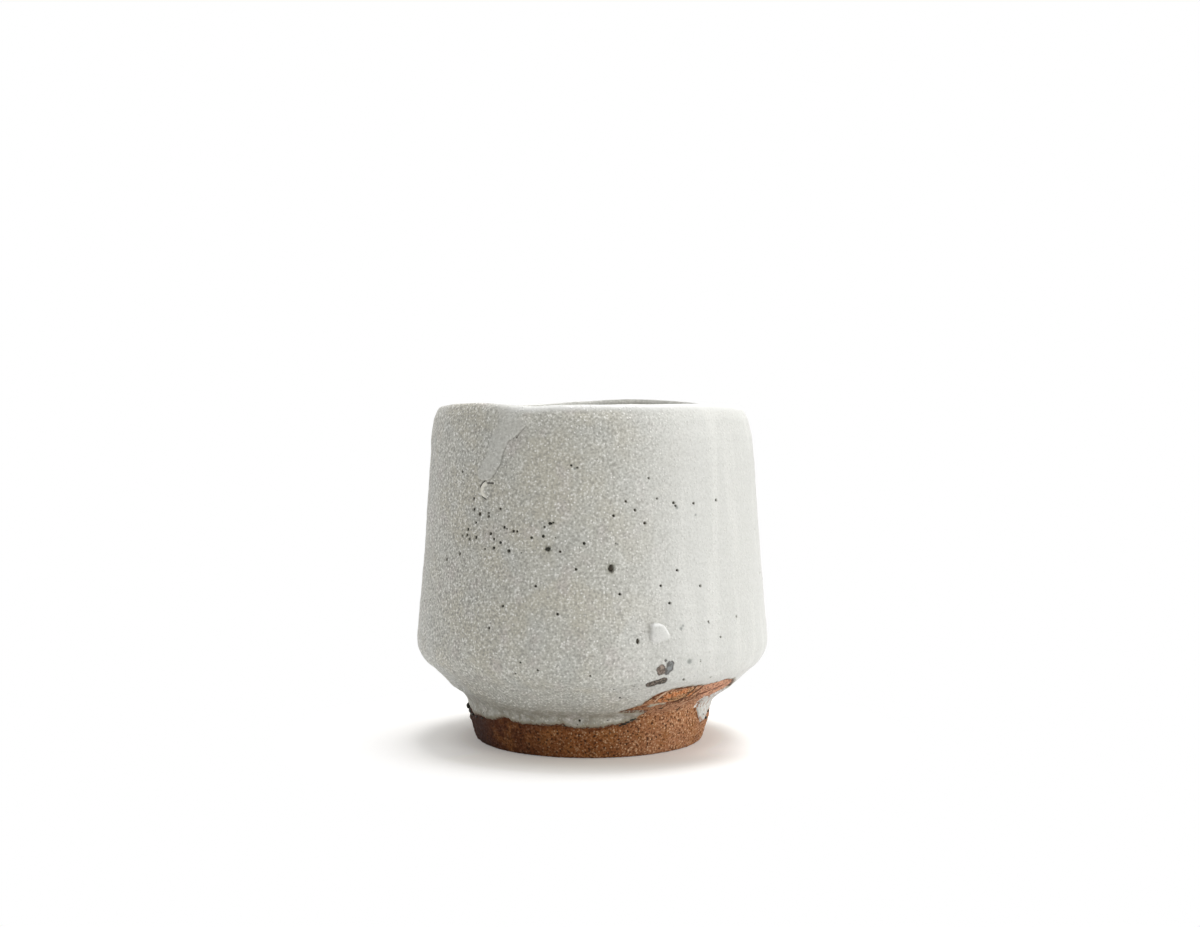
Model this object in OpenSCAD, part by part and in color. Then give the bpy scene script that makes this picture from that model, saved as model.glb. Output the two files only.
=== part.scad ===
// Yunomi tea cup: a thrown stoneware cup on a foot ring, under a white glaze.
// The origin is on the cup's axis, at the face that the foot rests on, and +Z is up.
// A bearing is an angle round the axis: 0 faces -Y, the cup's front, and it grows towards +X.

/* [Cup] */
// Height of the glazed lip above the resting face
cup_h = 82.9; // [70:0.1:98]
// Glazed radius where the wall and the turned underside would meet
cup_r = 43.5; // [38:0.1:50]
// Distance that the wall leans in from there to its slight bend
bend_in = 2.4; // [0.5:0.1:4]
// Height of the slight bend above the shoulder
bend_h = 26.5; // [18:0.1:34]
// Distance that the wall leans in from the shoulder to where the lip turns in
turn_in = 4.2; // [3:0.1:5.5]
// Depth below the lip where the lip turns in
turn_h = 6.5; // [4:0.1:10]
// Radius of the curve where the lip turns in
turn_round = 14; // [8:1:20]
// Distance that the wall leans in from the shoulder to the lip
lip_in = 6; // [4.6:0.1:8]
// Height of the turned underside, from the shelf to the shoulder
underside_h = 9.4; // [7:0.1:12]
// Radius of the curve at the shoulder
shoulder_round = 9; // [5:0.1:11]
// Width of the shelf between the foot and the underside
shelf_w = 4.5; // [3:0.1:6]
// Rise of the shelf between the foot and the underside
shelf_h = 2.8; // [1.6:0.1:4]
// Radius of the curve between the shelf and the underside
shelf_round = 5; // [2:0.1:7]

/* [Lip and inside] */
// Thickness of the glazed wall at the lip
lip_t = 3.8; // [3.2:0.1:4.6]
// Radius of the two curves that round the lip
lip_round = 1.5; // [1:0.1:1.6]
// Thickness of the glazed wall, square to its face
wall_t = 4.3; // [3.4:0.1:5]
// Radius of the curve inside the shoulder
well_round = 14; // [9:0.1:16]
// Thickness of the floor, with its glaze
floor_t = 5; // [4:0.1:6]
// Radius of the curve from the inner underside to the floor
floor_round = 16; // [10:0.1:18]

/* [Foot ring] */
// Bare radius of the foot ring where it meets the cup
foot_r = 29.6; // [26:0.1:33]
// Height of the foot ring's joint with the cup
foot_h = 9.1; // [8:0.1:11]
// Distance that the foot ring draws in towards its base
draw_in = 1.7; // [0.5:0.1:2.5]
// Height of the stretch of the foot ring that draws in
draw_in_h = 6; // [4:0.1:7]
// Radius of the curve where the foot ring draws in
draw_in_round = 6; // [2:0.1:8]
// Thickness of the foot ring at the recess's ceiling
ring_t = 7; // [5.6:0.1:8.4]
// Thickness of the foot ring at its base, before its edges are rounded
ring_base_t = 4.5; // [3.6:0.1:5.4]
// Radius of the foot ring's outer bottom edge
edge_round = 1.4; // [0.6:0.1:2]
// Radius of the foot ring's inner bottom edge
recess_round = 1; // [0.4:0.1:1.4]
// Depth of the recess under the cup
recess_h = 6; // [5:0.1:7.2]

/* [Glaze] */
// Thickness of the glaze coats
glaze_t = 0.6; // [0.4:0.05:0.8]
// Depth of the outer coat's lowest drips below the foot ring's joint
hem_drop = 1.9; // [1.2:0.1:2.4]
// Height above the joint of the corner where the coat turns from the foot to the shelf
waist_h = 0.7; // [0.5:0.1:1.2]
// Radius of the coat's curve at that corner
waist_round = 0.9; // [0.6:0.1:1.1]
// Thickness of the second layer, in the run and in the drop
second_t = 0.45; // [0.2:0.05:0.8]

/* [Run and drop] */
// Bearing of the middle of the run where it leaves the lip
run_bearing = -30; // [-60:1:0]
// Width of the run where it leaves the lip
run_top_w = 7.6; // [5:0.1:12]
// Width of the run at its round tip
run_tip_w = 4.4; // [3:0.1:7]
// Length of the run from the lip down to the middle of its round tip
run_h = 17.8; // [10:0.1:24]
// Distance that the run drifts sideways on its way down
run_drift = 6; // [0:0.1:8]
// Bearing of the drop low on the wall
drop_bearing = 20; // [0:1:60]
// Height of the middle of the drop's round top end above the shoulder
drop_lift = 9.2; // [6:0.1:14]
// Radius of the drop's round top end
drop_r = 1.7; // [1:0.1:2.4]
// Length of the drop below its round end
drop_h = 2.8; // [1:0.1:5]

/* [Bare patch] */
// Bearing of the middle of the patch that the glaze missed
patch_bearing = 42; // [20:1:70]
// Width of the patch along the underside
patch_w = 34; // [20:0.1:40]
// Height of the patch over the lowest drips
patch_h = 10.4; // [7:0.1:11.4]

/* [Iron and beads] */
// Radius of the largest iron spot
spot_r = 0.85; // [0.5:0.05:1.2]
// Radius of the smallest iron spot
speck_r = 0.3; // [0.2:0.05:0.4]
// Radius of the largest melted bead on the hem
bead_r = 1.1; // [0.8:0.05:1.5]

/* [Hidden] */
$fn = 96;
// Largest angle of a step along a rounded corner
arc_step = 9;
// Steps along the run's sides and round its tip
run_steps = 7;
tip_steps = 12;
// How far a cut passes its faces
overrun = 1;
// Most of an edge that one rounding takes, where its other end is sharp and where it is rounded
sharp_share = 0.9;
rounded_share = 0.45;

// Levels, from the foot up
hem_z = foot_h - hem_drop;
waist_z = foot_h + waist_h;
shelf_z = waist_z + shelf_h;
shoulder_z = shelf_z + underside_h;
floor_z = recess_h + floor_t;

// Radii that follow from the driving ones
foot_glaze_r = foot_r + glaze_t;
base_r = foot_r - draw_in;
recess_top_r = foot_r - ring_t;
rim_r = cup_r - lip_in;
crest_r = rim_r - lip_t / 2;

// Corners of the glazed outside, from the hem to the crest, as [radius, height, rounding]
hem = [foot_glaze_r, hem_z, 0];
waist = [foot_glaze_r, waist_z, waist_round];
shelf = [foot_glaze_r + shelf_w, shelf_z, shelf_round];
shoulder = [cup_r, shoulder_z, shoulder_round];
bend = [cup_r - bend_in, shoulder_z + bend_h, 0];
turn = [cup_r - turn_in, cup_h - turn_h, turn_round];
rim = [rim_r, cup_h, lip_round];
crest = [crest_r, cup_h, 0];
outer_face = [hem, waist, shelf, shoulder, bend, turn, rim, crest];

// Corners of the bare foot ring, from its joint down, under and up to the recess's ceiling
foot_face = [
    [foot_r, foot_h, 0],
    [foot_r, draw_in_h, draw_in_round],
    [base_r, 0, edge_round],
    [base_r - ring_base_t, 0, recess_round],
    [recess_top_r, recess_h, 0],
];

// Bearings, heights as shares of the wall between shoulder and lip, and sizes as shares
// between the smallest spot and the largest
spot_shares = [
    [6, 0.39, 1],
    [14, 0.13, 0.5],
    [-15, 0.465, 0.55],
    [-28, 0.46, 0.35],
    [-32, 0.53, 0],
    [-43, 0.51, 0],
    [-26, 0.545, 0],
    [-20, 0.52, 0.1],
    [-10, 0.4, 0],
    [-4, 0.49, 0.1],
    [8, 0.49, 0.1],
    [15, 0.64, 0],
    [16, 0.73, 0.15],
    [26, 0.66, 0],
    [33, 0.64, 0.1],
    [25, 0.31, 0],
    [-24, 0.25, 0],
    [-10, 0.24, 0.1],
    [96, 0.42, 0.4],
    [121, 0.7, 0.1],
    [148, 0.3, 0.6],
    [171, 0.55, 0.1],
    [199, 0.62, 0.2],
    [226, 0.35, 0.8],
    [244, 0.74, 0.1],
    [262, 0.5, 0.3],
];

// Bearings, and radii as shares of the largest bead
bead_shares = [
    [-88, 1],
    [-80, 0.7],
    [-73, 0.6],
    [68, 0.6],
    [136, 0.7],
    [204, 0.6],
];

// Bearings, widths and heights of the scallops between the drips of the hem, the last two as
// shares of the foot ring's radius and of the hem's band
scallop_shares = [
    [-62, 0.52, 0.4],
    [-39, 0.36, 0.85],
    [-14, 0.6, 0.6],
    [11, 0.36, 0.9],
    [94, 0.6, 0.5],
    [122, 0.5, 0.3],
    [151, 0.7, 0.6],
    [188, 0.6, 0.35],
    [219, 0.7, 0.55],
    [247, 0.4, 0.3],
];

// The bare patch's outline from its lower left end to its lower right, as shares of its width and
// of its height over the lowest drips
patch_shares = [
    [-0.33, 0.24],
    [-0.37, 0.42],
    [-0.42, 0.69],
    [-0.39, 0.78],
    [-0.28, 0.95],
    [-0.2, 1],
    [0.02, 0.96],
    [0.36, 0.85],
    [0.5, 0.67],
    [0.29, 0.63],
    [0.08, 0.55],
    [0.2, 0.28],
];

function unit(v) = v / norm(v);
function turned(v, a) = [v.x * cos(a) - v.y * sin(a), v.x * sin(a) + v.y * cos(a)];
function left_of(v) = [-v.y, v.x];
function point_of(corner) = [corner[0], corner[1]];
function reversed(list) = [for (i = [len(list) - 1:-1:0]) list[i]];
function side_of(a, b) = sign(cross(a, b));
function at_height(a, b, z) = a + (b - a) * (z - a.y) / (b.y - a.y);

// How far a rounding may run from one corner towards the next
function room(corner, next) =
    norm(point_of(next) - point_of(corner)) * (next[2] == 0 ? sharp_share : rounded_share);

// The arc that rounds a corner, or the bare corner where its rounding is 0
function rounded_corner(before, corner, after) =
    corner[2] == 0
        ? [point_of(corner)]
        : let (
            b = point_of(corner),
            to_a = unit(point_of(before) - b),
            to_c = unit(point_of(after) - b),
            half = acos(to_a * to_c) / 2,
            reach = min(corner[2] / tan(half), room(corner, before), room(corner, after)),
            centre = b + unit(to_a + to_c) * reach / cos(half),
            start = b + to_a * reach - centre,
            sweep = 180 - 2 * half,
            steps = ceil(sweep / arc_step)
        )
        [for (i = [0:steps]) centre + turned(start, -side_of(to_a, to_c) * sweep * i / steps)];

// All the points of a face given as corners
function rounded(face) =
    [
        for (i = [0:len(face) - 1])
            each i == 0 || i == len(face) - 1
                ? [point_of(face[i])]
                : rounded_corner(face[i - 1], face[i], face[i + 1])
    ];

// The same face moved sideways by d, to the left of its own direction, with its arcs kept concentric
function moved(face, d) =
    let (
        points = [for (corner = face) point_of(corner)],
        last = len(face) - 1,
        normals = [for (i = [0:last - 1]) left_of(unit(points[i + 1] - points[i]))]
    )
    [
        for (i = [0:last])
            let (
                before = normals[max(i - 1, 0)],
                after = normals[min(i, last - 1)],
                shift = (before + after) * d / (1 + before * after),
                place = points[i] + shift,
                side = side_of(before, after)
            )
            [place.x, place.y, face[i][2] == 0 ? 0 : face[i][2] - side * d]
    ];

// Corners of the glazed inside, from the crest down the wall to the middle of the floor: the wall
// keeps its thickness below the lip, and its inner underside runs on down to the floor
wall_back = moved([shelf, shoulder, bend, turn, rim], wall_t);
well = at_height(point_of(wall_back[0]), point_of(wall_back[1]), floor_z);
inner_face = [
    crest,
    [rim_r - lip_t, cup_h, lip_round],
    wall_back[3],
    wall_back[2],
    [wall_back[1].x, wall_back[1].y, well_round],
    [well.x, well.y, floor_round],
    [0, floor_z, 0],
];

clay_outer_face = moved(outer_face, glaze_t);
clay_inner_face = moved(inner_face, glaze_t);

module coat_section(face, from, to)
{
    polygon(concat(rounded(moved(face, from)), reversed(rounded(moved(face, to)))));
}

// Sweeps its flat child outwards at a bearing, from inside the foot ring to past the shoulder,
// with the child's Y as height
module towards(bearing)
{
    rotate([0, 0, bearing])
        translate([0, -recess_top_r, 0])
            rotate([90, 0, 0])
                linear_extrude(cup_r + second_t + overrun - recess_top_r)
                    children();
}

function wall_height(share) = shoulder_z + share * (cup_h - shoulder_z);
function spot_size(share) = speck_r + share * (spot_r - speck_r);

module spot_plug(spot)
{
    towards(spot[0])
        translate([0, wall_height(spot[1])])
            circle(spot_size(spot[2]));
}

// The patch that the glaze missed: a wedge on the underside, open to the hem below
module patch_outline()
{
    below_z = hem_z - overrun;
    polygon([
        [patch_w * patch_shares[0][0], below_z],
        for (share = patch_shares) [patch_w * share[0], hem_z + patch_h * share[1]],
        [patch_w * patch_shares[len(patch_shares) - 1][0], below_z],
    ]);
}

// Each scallop is the top of a flat arch that bites into the hem
module hem_scallops()
{
    for (scallop = scallop_shares)
        towards(scallop[0]) {
            half_w = foot_r * scallop[1] / 2;
            rise = (foot_h - hem_z) * scallop[2];
            arch_r = (half_w * half_w + rise * rise) / (2 * rise);
            translate([0, hem_z + rise - arch_r])
                circle(arch_r);
        }
}

// The run's sideways drift and half its width, at a share of the way from its tip to the lip
function eased(share) = (1 - cos(180 * share)) / 2;
function run_x(share) = -run_drift * (1 - eased(share));
function run_half_w(share) = (run_tip_w + (run_top_w - run_tip_w) * eased(share)) / 2;

// A tongue that leaves the lip and ends in a round tip
module run_outline()
{
    tip = [run_x(0), cup_h - lip_round - run_h];
    shares = [for (i = [0:run_steps]) i / run_steps];
    polygon(concat(
        [for (s = shares) [run_x(s) - run_half_w(s), tip.y + run_h * s]],
        reversed([for (s = shares) [run_x(s) + run_half_w(s), tip.y + run_h * s]]),
        [for (i = [1:tip_steps - 1]) tip + turned([run_half_w(0), 0], -180 * i / tip_steps)]
    ));
}

module drop_outline()
{
    drop_z = shoulder_z + drop_lift;
    translate([0, drop_z])
        circle(drop_r);
    translate([-drop_r, drop_z - drop_h])
        square([drop_r * 2, drop_h]);
    translate([0, drop_z - drop_h])
        circle(drop_r);
}

// A second layer of glaze that lies on the outer coat
module second_layer()
{
    rotate_extrude()
        coat_section(outer_face, -second_t, 0);
}

module clay_section()
{
    polygon(concat(
        [[0, recess_h], [recess_top_r, recess_h], [recess_top_r, foot_h], [foot_r, foot_h]],
        [for (p = rounded(clay_outer_face)) if (p.y > foot_h) p],
        rounded(clay_inner_face)
    ));
}

module foot_section()
{
    polygon(concat(rounded(foot_face), [[recess_top_r, foot_h]]));
}

module stoneware_body()
{
    color("peru")
        rotate_extrude()
            clay_section();
}

module foot_ring()
{
    color("sienna")
        rotate_extrude()
            foot_section();
}

module outer_glaze()
{
    color("gainsboro")
        difference() {
            rotate_extrude()
                coat_section(outer_face, 0, glaze_t);
            towards(patch_bearing)
                patch_outline();
            hem_scallops();
            for (spot = spot_shares)
                spot_plug(spot);
        }
}

module inner_glaze()
{
    color("whitesmoke")
        rotate_extrude()
            coat_section(inner_face, 0, glaze_t);
}

module glaze_run()
{
    color("white")
        intersection() {
            second_layer();
            towards(run_bearing)
                run_outline();
        }
}

module glaze_drop()
{
    color("white")
        intersection() {
            second_layer();
            towards(drop_bearing)
                drop_outline();
        }
}

// Grains of iron that melted out of the clay and up through the coat
module iron_spots()
{
    color("darkslategray")
        for (spot = spot_shares)
            intersection() {
                rotate_extrude()
                    coat_section(outer_face, 0, glaze_t);
                spot_plug(spot);
            }
}

// Half a ball that points outwards at bearing 0
module half_ball(radius)
{
    rotate([90, 0, 0])
        rotate_extrude()
            intersection() {
                circle(radius);
                square(radius);
            }
}

// Beads of glaze that rolled up on the bare foot ring, just under the hem
module hem_beads()
{
    color("black")
        for (bead = bead_shares)
            rotate([0, 0, bead[0]])
                translate([0, -foot_r, hem_z - bead_r * bead[1]])
                    half_ball(bead_r * bead[1]);
}

stoneware_body();
foot_ring();
outer_glaze();
inner_glaze();
glaze_run();
glaze_drop();
iron_spots();
hem_beads();
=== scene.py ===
"""Looks of a yunomi tea cup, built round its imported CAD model.

Sizes are in millimetres, as a potter writes them, and become metres where a mesh is placed.
A bearing is an angle round the cup's axis: 0 faces -Y, the cup's front, and it grows towards +X.
Tables give bearings in degrees, and the code works in radians.
"""

import logging
import math
import random
from dataclasses import dataclass
from enum import Enum
from typing import Callable, Sequence

import bmesh
import bpy
import numpy as np
from mathutils import Matrix, Vector, noise


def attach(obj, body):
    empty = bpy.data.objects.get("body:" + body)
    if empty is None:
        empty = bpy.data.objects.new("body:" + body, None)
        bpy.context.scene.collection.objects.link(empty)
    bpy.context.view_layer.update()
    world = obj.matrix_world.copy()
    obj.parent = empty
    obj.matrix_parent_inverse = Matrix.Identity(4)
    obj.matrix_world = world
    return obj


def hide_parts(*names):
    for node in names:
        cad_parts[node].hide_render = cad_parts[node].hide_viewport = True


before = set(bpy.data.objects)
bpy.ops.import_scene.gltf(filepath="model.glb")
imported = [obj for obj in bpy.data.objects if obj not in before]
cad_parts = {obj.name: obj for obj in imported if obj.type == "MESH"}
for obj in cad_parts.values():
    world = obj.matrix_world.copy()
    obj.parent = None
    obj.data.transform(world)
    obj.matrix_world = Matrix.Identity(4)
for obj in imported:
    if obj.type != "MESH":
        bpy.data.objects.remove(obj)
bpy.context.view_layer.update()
LOG = logging.getLogger("yunomi")
MM = 0.001
FAR = 99.0
# The lift above which a point lies on the shown face of its piece
SHOWN = -0.01

Colour = tuple[float, float, float]
Span = tuple[float, float]
# Layers of smooth noise: the height, width and seed of each
Layers = tuple[tuple[float, float, float], ...]
Field = Callable[[np.ndarray, np.ndarray], np.ndarray]


def eased(value: np.ndarray, low: float, high: float) -> np.ndarray:
    """A smooth step from 0 at low to 1 at high."""
    share = np.clip((value - low) / (high - low), 0.0, 1.0)
    return share * share * (3.0 - 2.0 * share)


def fading(value: np.ndarray, low: float, high: float) -> np.ndarray:
    """A smooth step from 1 at low to 0 at high."""
    return eased(-value, -high, -low)


def hump(value: np.ndarray, middle: float, width: float) -> np.ndarray:
    """A bell that is 1 at its middle."""
    return np.exp(-((value - middle) / width) ** 2)


def lumps(points: np.ndarray, size: float, seed: float = 0.0) -> np.ndarray:
    """Smooth noise from -1 to 1.

    Args:
        points: places in millimetres, one a row.
        size: width of a lump, in millimetres.
        seed: shift that gives another pattern.

    Returns:
        One value for each place.
    """
    return np.array([noise.noise(Vector(p)) for p in points / size + seed])


def lumpy(points: np.ndarray, layers: Layers) -> np.ndarray:
    """Smooth noise in layers, in millimetres."""
    return sum(height * lumps(points, width, seed) for height, width, seed in layers)


def turn_between(bearing: np.ndarray, centre: float) -> np.ndarray:
    """The signed angle from a centre to each bearing, the short way round."""
    return (bearing - centre + math.pi) % math.tau - math.pi


@dataclass(frozen=True)
class Corner:
    """A corner of an outline: its radius from the axis, its height and its rounding."""

    r: float
    z: float
    rounding: float = 0.0


class Outline:
    """A rounded line in the plane of radius and height, whose left side is its outside."""

    spacing: float = 0.05
    arc_steps: int = 14
    # Share of a side that a rounding may take: where its other end is rounded too, and where it isn't
    shared_side: float = 0.45
    free_side: float = 0.9

    def __init__(self, corners: Sequence[Corner]) -> None:
        """Rounds the corners and measures the line.

        Args:
            corners: the line's corners in order.
        """
        points = [np.array((corners[0].r, corners[0].z))]
        for before, corner, after in zip(corners, corners[1:], corners[2:]):
            points += self._rounded(before, corner, after)
        points.append(np.array((corners[-1].r, corners[-1].z)))
        line = np.array(points)
        reached = np.concatenate(([0.0], np.cumsum(np.linalg.norm(np.diff(line, axis=0), axis=1))))
        self.length = float(reached[-1])
        self.along = np.linspace(0.0, self.length, int(self.length / self.spacing))
        self.r = np.interp(self.along, reached, line[:, 0])
        self.z = np.interp(self.along, reached, line[:, 1])
        ahead = np.stack((np.gradient(self.r), np.gradient(self.z)), axis=1)
        ahead /= np.linalg.norm(ahead, axis=1)[:, None]
        self.normal_r, self.normal_z = -ahead[:, 1], ahead[:, 0]

    def _rounded(self, before: Corner, corner: Corner, after: Corner) -> list[np.ndarray]:
        """The arc that rounds a corner.

        Args:
            before: the corner that comes before it.
            corner: the corner itself.
            after: the corner that follows it.

        Returns:
            Points of the arc, or the bare corner where its rounding is 0.
        """
        at = np.array((corner.r, corner.z))
        if corner.rounding == 0.0:
            return [at]
        back = np.array((before.r, before.z)) - at
        on = np.array((after.r, after.z)) - at
        room = [np.linalg.norm(way) * (self.shared_side if end.rounding else self.free_side)
                for way, end in ((back, before), (on, after))]
        back, on = back / np.linalg.norm(back), on / np.linalg.norm(on)
        half = math.acos(float(np.clip(back @ on, -1.0, 1.0))) / 2.0
        reach = min(corner.rounding / math.tan(half), *room)
        middle = (back + on) / np.linalg.norm(back + on)
        centre = at + middle * reach / math.cos(half)
        start, end = at + back * reach - centre, at + on * reach - centre
        sweep = math.pi - 2.0 * half
        shares = np.linspace(0.0, 1.0, self.arc_steps)
        return [centre + (start * math.sin((1.0 - t) * sweep) + end * math.sin(t * sweep))
                / math.sin(sweep) for t in shares]

    def at(self, along: np.ndarray, lift: np.ndarray | float) -> tuple[np.ndarray, np.ndarray]:
        """Radius and height of places on the line, lifted off it to its outside.

        Args:
            along: distances along the line.
            lift: heights over it.

        Returns:
            The radii and the heights.
        """
        radius = np.interp(along, self.along, self.r)
        height = np.interp(along, self.along, self.z)
        out_r = np.interp(along, self.along, self.normal_r)
        out_z = np.interp(along, self.along, self.normal_z)
        return np.maximum(radius + out_r * lift, 0.0), height + out_z * lift

    def nearest(self, r: float, z: float) -> float:
        """Distance along the line of its point nearest to a radius and height."""
        return float(self.along[np.argmin((self.r - r) ** 2 + (self.z - z) ** 2)])

    def rows(self, start: float, end: float, step: float, lift: float = 0.0) -> list[tuple[float, float]]:
        """Evenly spaced rows from one place along the line to another, at one lift."""
        count = max(2, round(abs(end - start) / step) + 1)
        return [(float(along), lift) for along in np.linspace(start, end, count)]


# Height of the lip at bearings all round, as thrown by hand
LIP_HEIGHTS = (
    (-180, 82.5), (-168, 82.1), (-160, 81.7), (-135, 81.1), (-100, 81.2), (-75, 82.0), (-60, 82.6),
    (-45, 82.9), (-37, 82.7), (-28, 82.0), (-20, 82.2), (-12, 82.6), (0, 82.7), (45, 82.7), (75, 82.0),
    (95, 81.5), (120, 81.6), (132, 82.2), (145, 82.7), (162, 83.0), (172, 82.8), (180, 82.5),
)

# How far the underside is tucked up at bearings all round
TUCKS = (
    (-180, 0.8), (-120, 1.2), (-80, 1.5), (-54, 1.4), (-42, 0.7), (-28, 0.0), (34, 0.0), (46, 0.45),
    (58, 0.9), (100, 0.9), (140, 0.8), (180, 0.8),
)


def round_axis(bearing: np.ndarray, r: np.ndarray, z: np.ndarray) -> np.ndarray:
    """Points at some bearings, radii and heights, one a row."""
    return np.stack((r * np.sin(bearing), -r * np.cos(bearing), z), axis=1)


def true_points(outline: Outline, bearing: np.ndarray, along: np.ndarray) -> np.ndarray:
    """Points of the true form in millimetres, for patterns in its surface."""
    return round_axis(bearing, *outline.at(along, 0.0))


@dataclass(frozen=True)
class CupForm:
    """The turned form of the glazed cup, and the ways in which it is out of true.

    A span gives the heights or widths between which something sets in or fades.
    """

    lip_height: float = 82.9
    crest_r: float = 35.6
    glaze: float = 0.6
    inside: tuple[Corner, ...] = (
        Corner(0.0, 11.0), Corner(27.3, 11.0, 16.0), Corner(39.04, 23.53, 14.0),
        Corner(36.8, 48.2, 60.0), Corner(35.1, 75.7, 10.0), Corner(33.7, 82.9, 1.5))
    outside: tuple[Corner, ...] = (
        Corner(37.1, 82.9, 1.6), Corner(38.55, 79.7, 4.0), Corner(39.35, 75.2, 14.0),
        Corner(41.1, 48.5, 60.0),
        Corner(43.5, 22.0, 9.0), Corner(34.7, 12.6, 5.0), Corner(30.2, 9.8, 0.9), Corner(30.2, 5.0))
    lip_wave: Span = (56.0, 81.0)
    tuck_starts: Span = (9.2, 11.4)
    tuck_ends: Span = (13.0, 24.0)
    # The line that parts the outside from the foot and the inside: its radius at a height, and its slope
    parting: tuple[float, float, float] = (29.7, 11.0, 1.1)
    parting_width: Span = (-1.0, 1.0)
    lump: float = 0.22
    lump_width: float = 21.0
    lump_seed: float = 3.7
    lump_stretch: tuple[float, float, float] = (1.0, 1.0, 0.8)
    lump_starts: Span = (2.0, 16.0)
    full_lump_r: float = 40.0
    lean: tuple[tuple[float, float], ...] = ((0, -0.7), (9, -0.6), (18, 0.0), (70, 0.0), (82, -0.45))
    ring_steps: int = 720
    blur_steps: int = 16
    blur_width: float = 7.0

    def outline(self) -> Outline:
        """The whole glazed line, from the middle of the floor, over the lip and down to the hem."""
        return Outline(self.inside + self.outside)

    def _all_round(self, bearing: np.ndarray, rows: Sequence[tuple[float, float]]) -> np.ndarray:
        """A measure given at some bearings, smoothed and read at others.

        Args:
            bearing: where it is read, in radians.
            rows: bearings in degrees, and the measure there.

        Returns:
            The measure at each bearing.
        """
        ring = np.linspace(-math.pi, math.pi, self.ring_steps, endpoint=False)
        degrees, measures = zip(*rows)
        wave = np.interp(ring, np.radians(degrees), measures)
        near = self.blur_steps
        blur = np.exp(-(np.arange(-near, near + 1) / self.blur_width) ** 2)
        wave = np.convolve(np.concatenate((wave[-near:], wave, wave[:near])), blur / blur.sum(), "valid")
        return np.interp(bearing, ring, wave, period=math.tau)

    def place(self, bearing: np.ndarray, r: np.ndarray, z: np.ndarray) -> np.ndarray:
        """Puts places of the true form where the hand-thrown one has them.

        Args:
            bearing: bearings in radians.
            r: radii in millimetres.
            z: heights in millimetres.

        Returns:
            Points in metres, one a row.
        """
        true = round_axis(bearing, r, z) * np.array(self.lump_stretch)
        reach = np.clip(r / self.full_lump_r, 0.0, 1.0) * eased(z, *self.lump_starts)
        wide = r + self.lump * reach * lumps(true, self.lump_width, self.lump_seed)
        drop = self._all_round(bearing, LIP_HEIGHTS) - self.lip_height
        foot_r, foot_z, slope = self.parting
        outside = eased(r - foot_r - slope * (z - foot_z), *self.parting_width)
        tuck = self._all_round(bearing, TUCKS) * outside
        tuck *= eased(z, *self.tuck_starts) * fading(z, *self.tuck_ends)
        points = round_axis(bearing, wide, z + drop * eased(z, *self.lip_wave) + tuck)
        points[:, 0] += np.interp(z, *zip(*self.lean))
        return points * MM

    def seat(self, outline: Outline, bearing: float, along: float, lift: float) -> Matrix:
        """A frame that stands on a surface of the cup.

        Args:
            outline: the line of that surface.
            bearing: its bearing in radians.
            along: its place along the line.
            lift: how far over the line it stands.

        Returns:
            A matrix with X round the cup, Y up the line and Z outwards, in metres.
        """
        step = 0.2
        here = outline.at(np.array((along, along - step, along)), np.array((lift, lift, lift)))
        turn = step / max(float(here[0][0]), 1.0)
        spots = self.place(np.array((bearing, bearing, bearing + turn)), *here)
        side = Vector(spots[2] - spots[0]).normalized()
        up = Vector(spots[1] - spots[0])
        up = (up - side * up.dot(side)).normalized()
        turned = Matrix((side, up, side.cross(up))).transposed().to_4x4()
        return Matrix.Translation(Vector(spots[0])) @ turned


FORM = CupForm()
SKIN = FORM.outline()
OUTER_FROM = SKIN.nearest(FORM.crest_r, FORM.lip_height)
# Where the outer coat and the liner meet, a little inside the crest
COATS_MEET = SKIN.nearest(34.5, FORM.lip_height)


def outer_alongs(heights: np.ndarray) -> np.ndarray:
    """Distances along the glazed line of heights on the cup's outside."""
    below = SKIN.along > OUTER_FROM
    return np.interp(-heights, -SKIN.z[below], SKIN.along[below])


def outer_along(height: float) -> float:
    """Distance along the glazed line of one height on the cup's outside."""
    return float(outer_alongs(np.array(height)))


def lip_highlight_share(along: np.ndarray) -> np.ndarray:
    """How much of a place lies on the roll of the lip, where a highlight is painted into the coat's colour.
    """
    return 1.0 - eased(along - OUTER_FROM, 1.6, 3.4)


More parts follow.
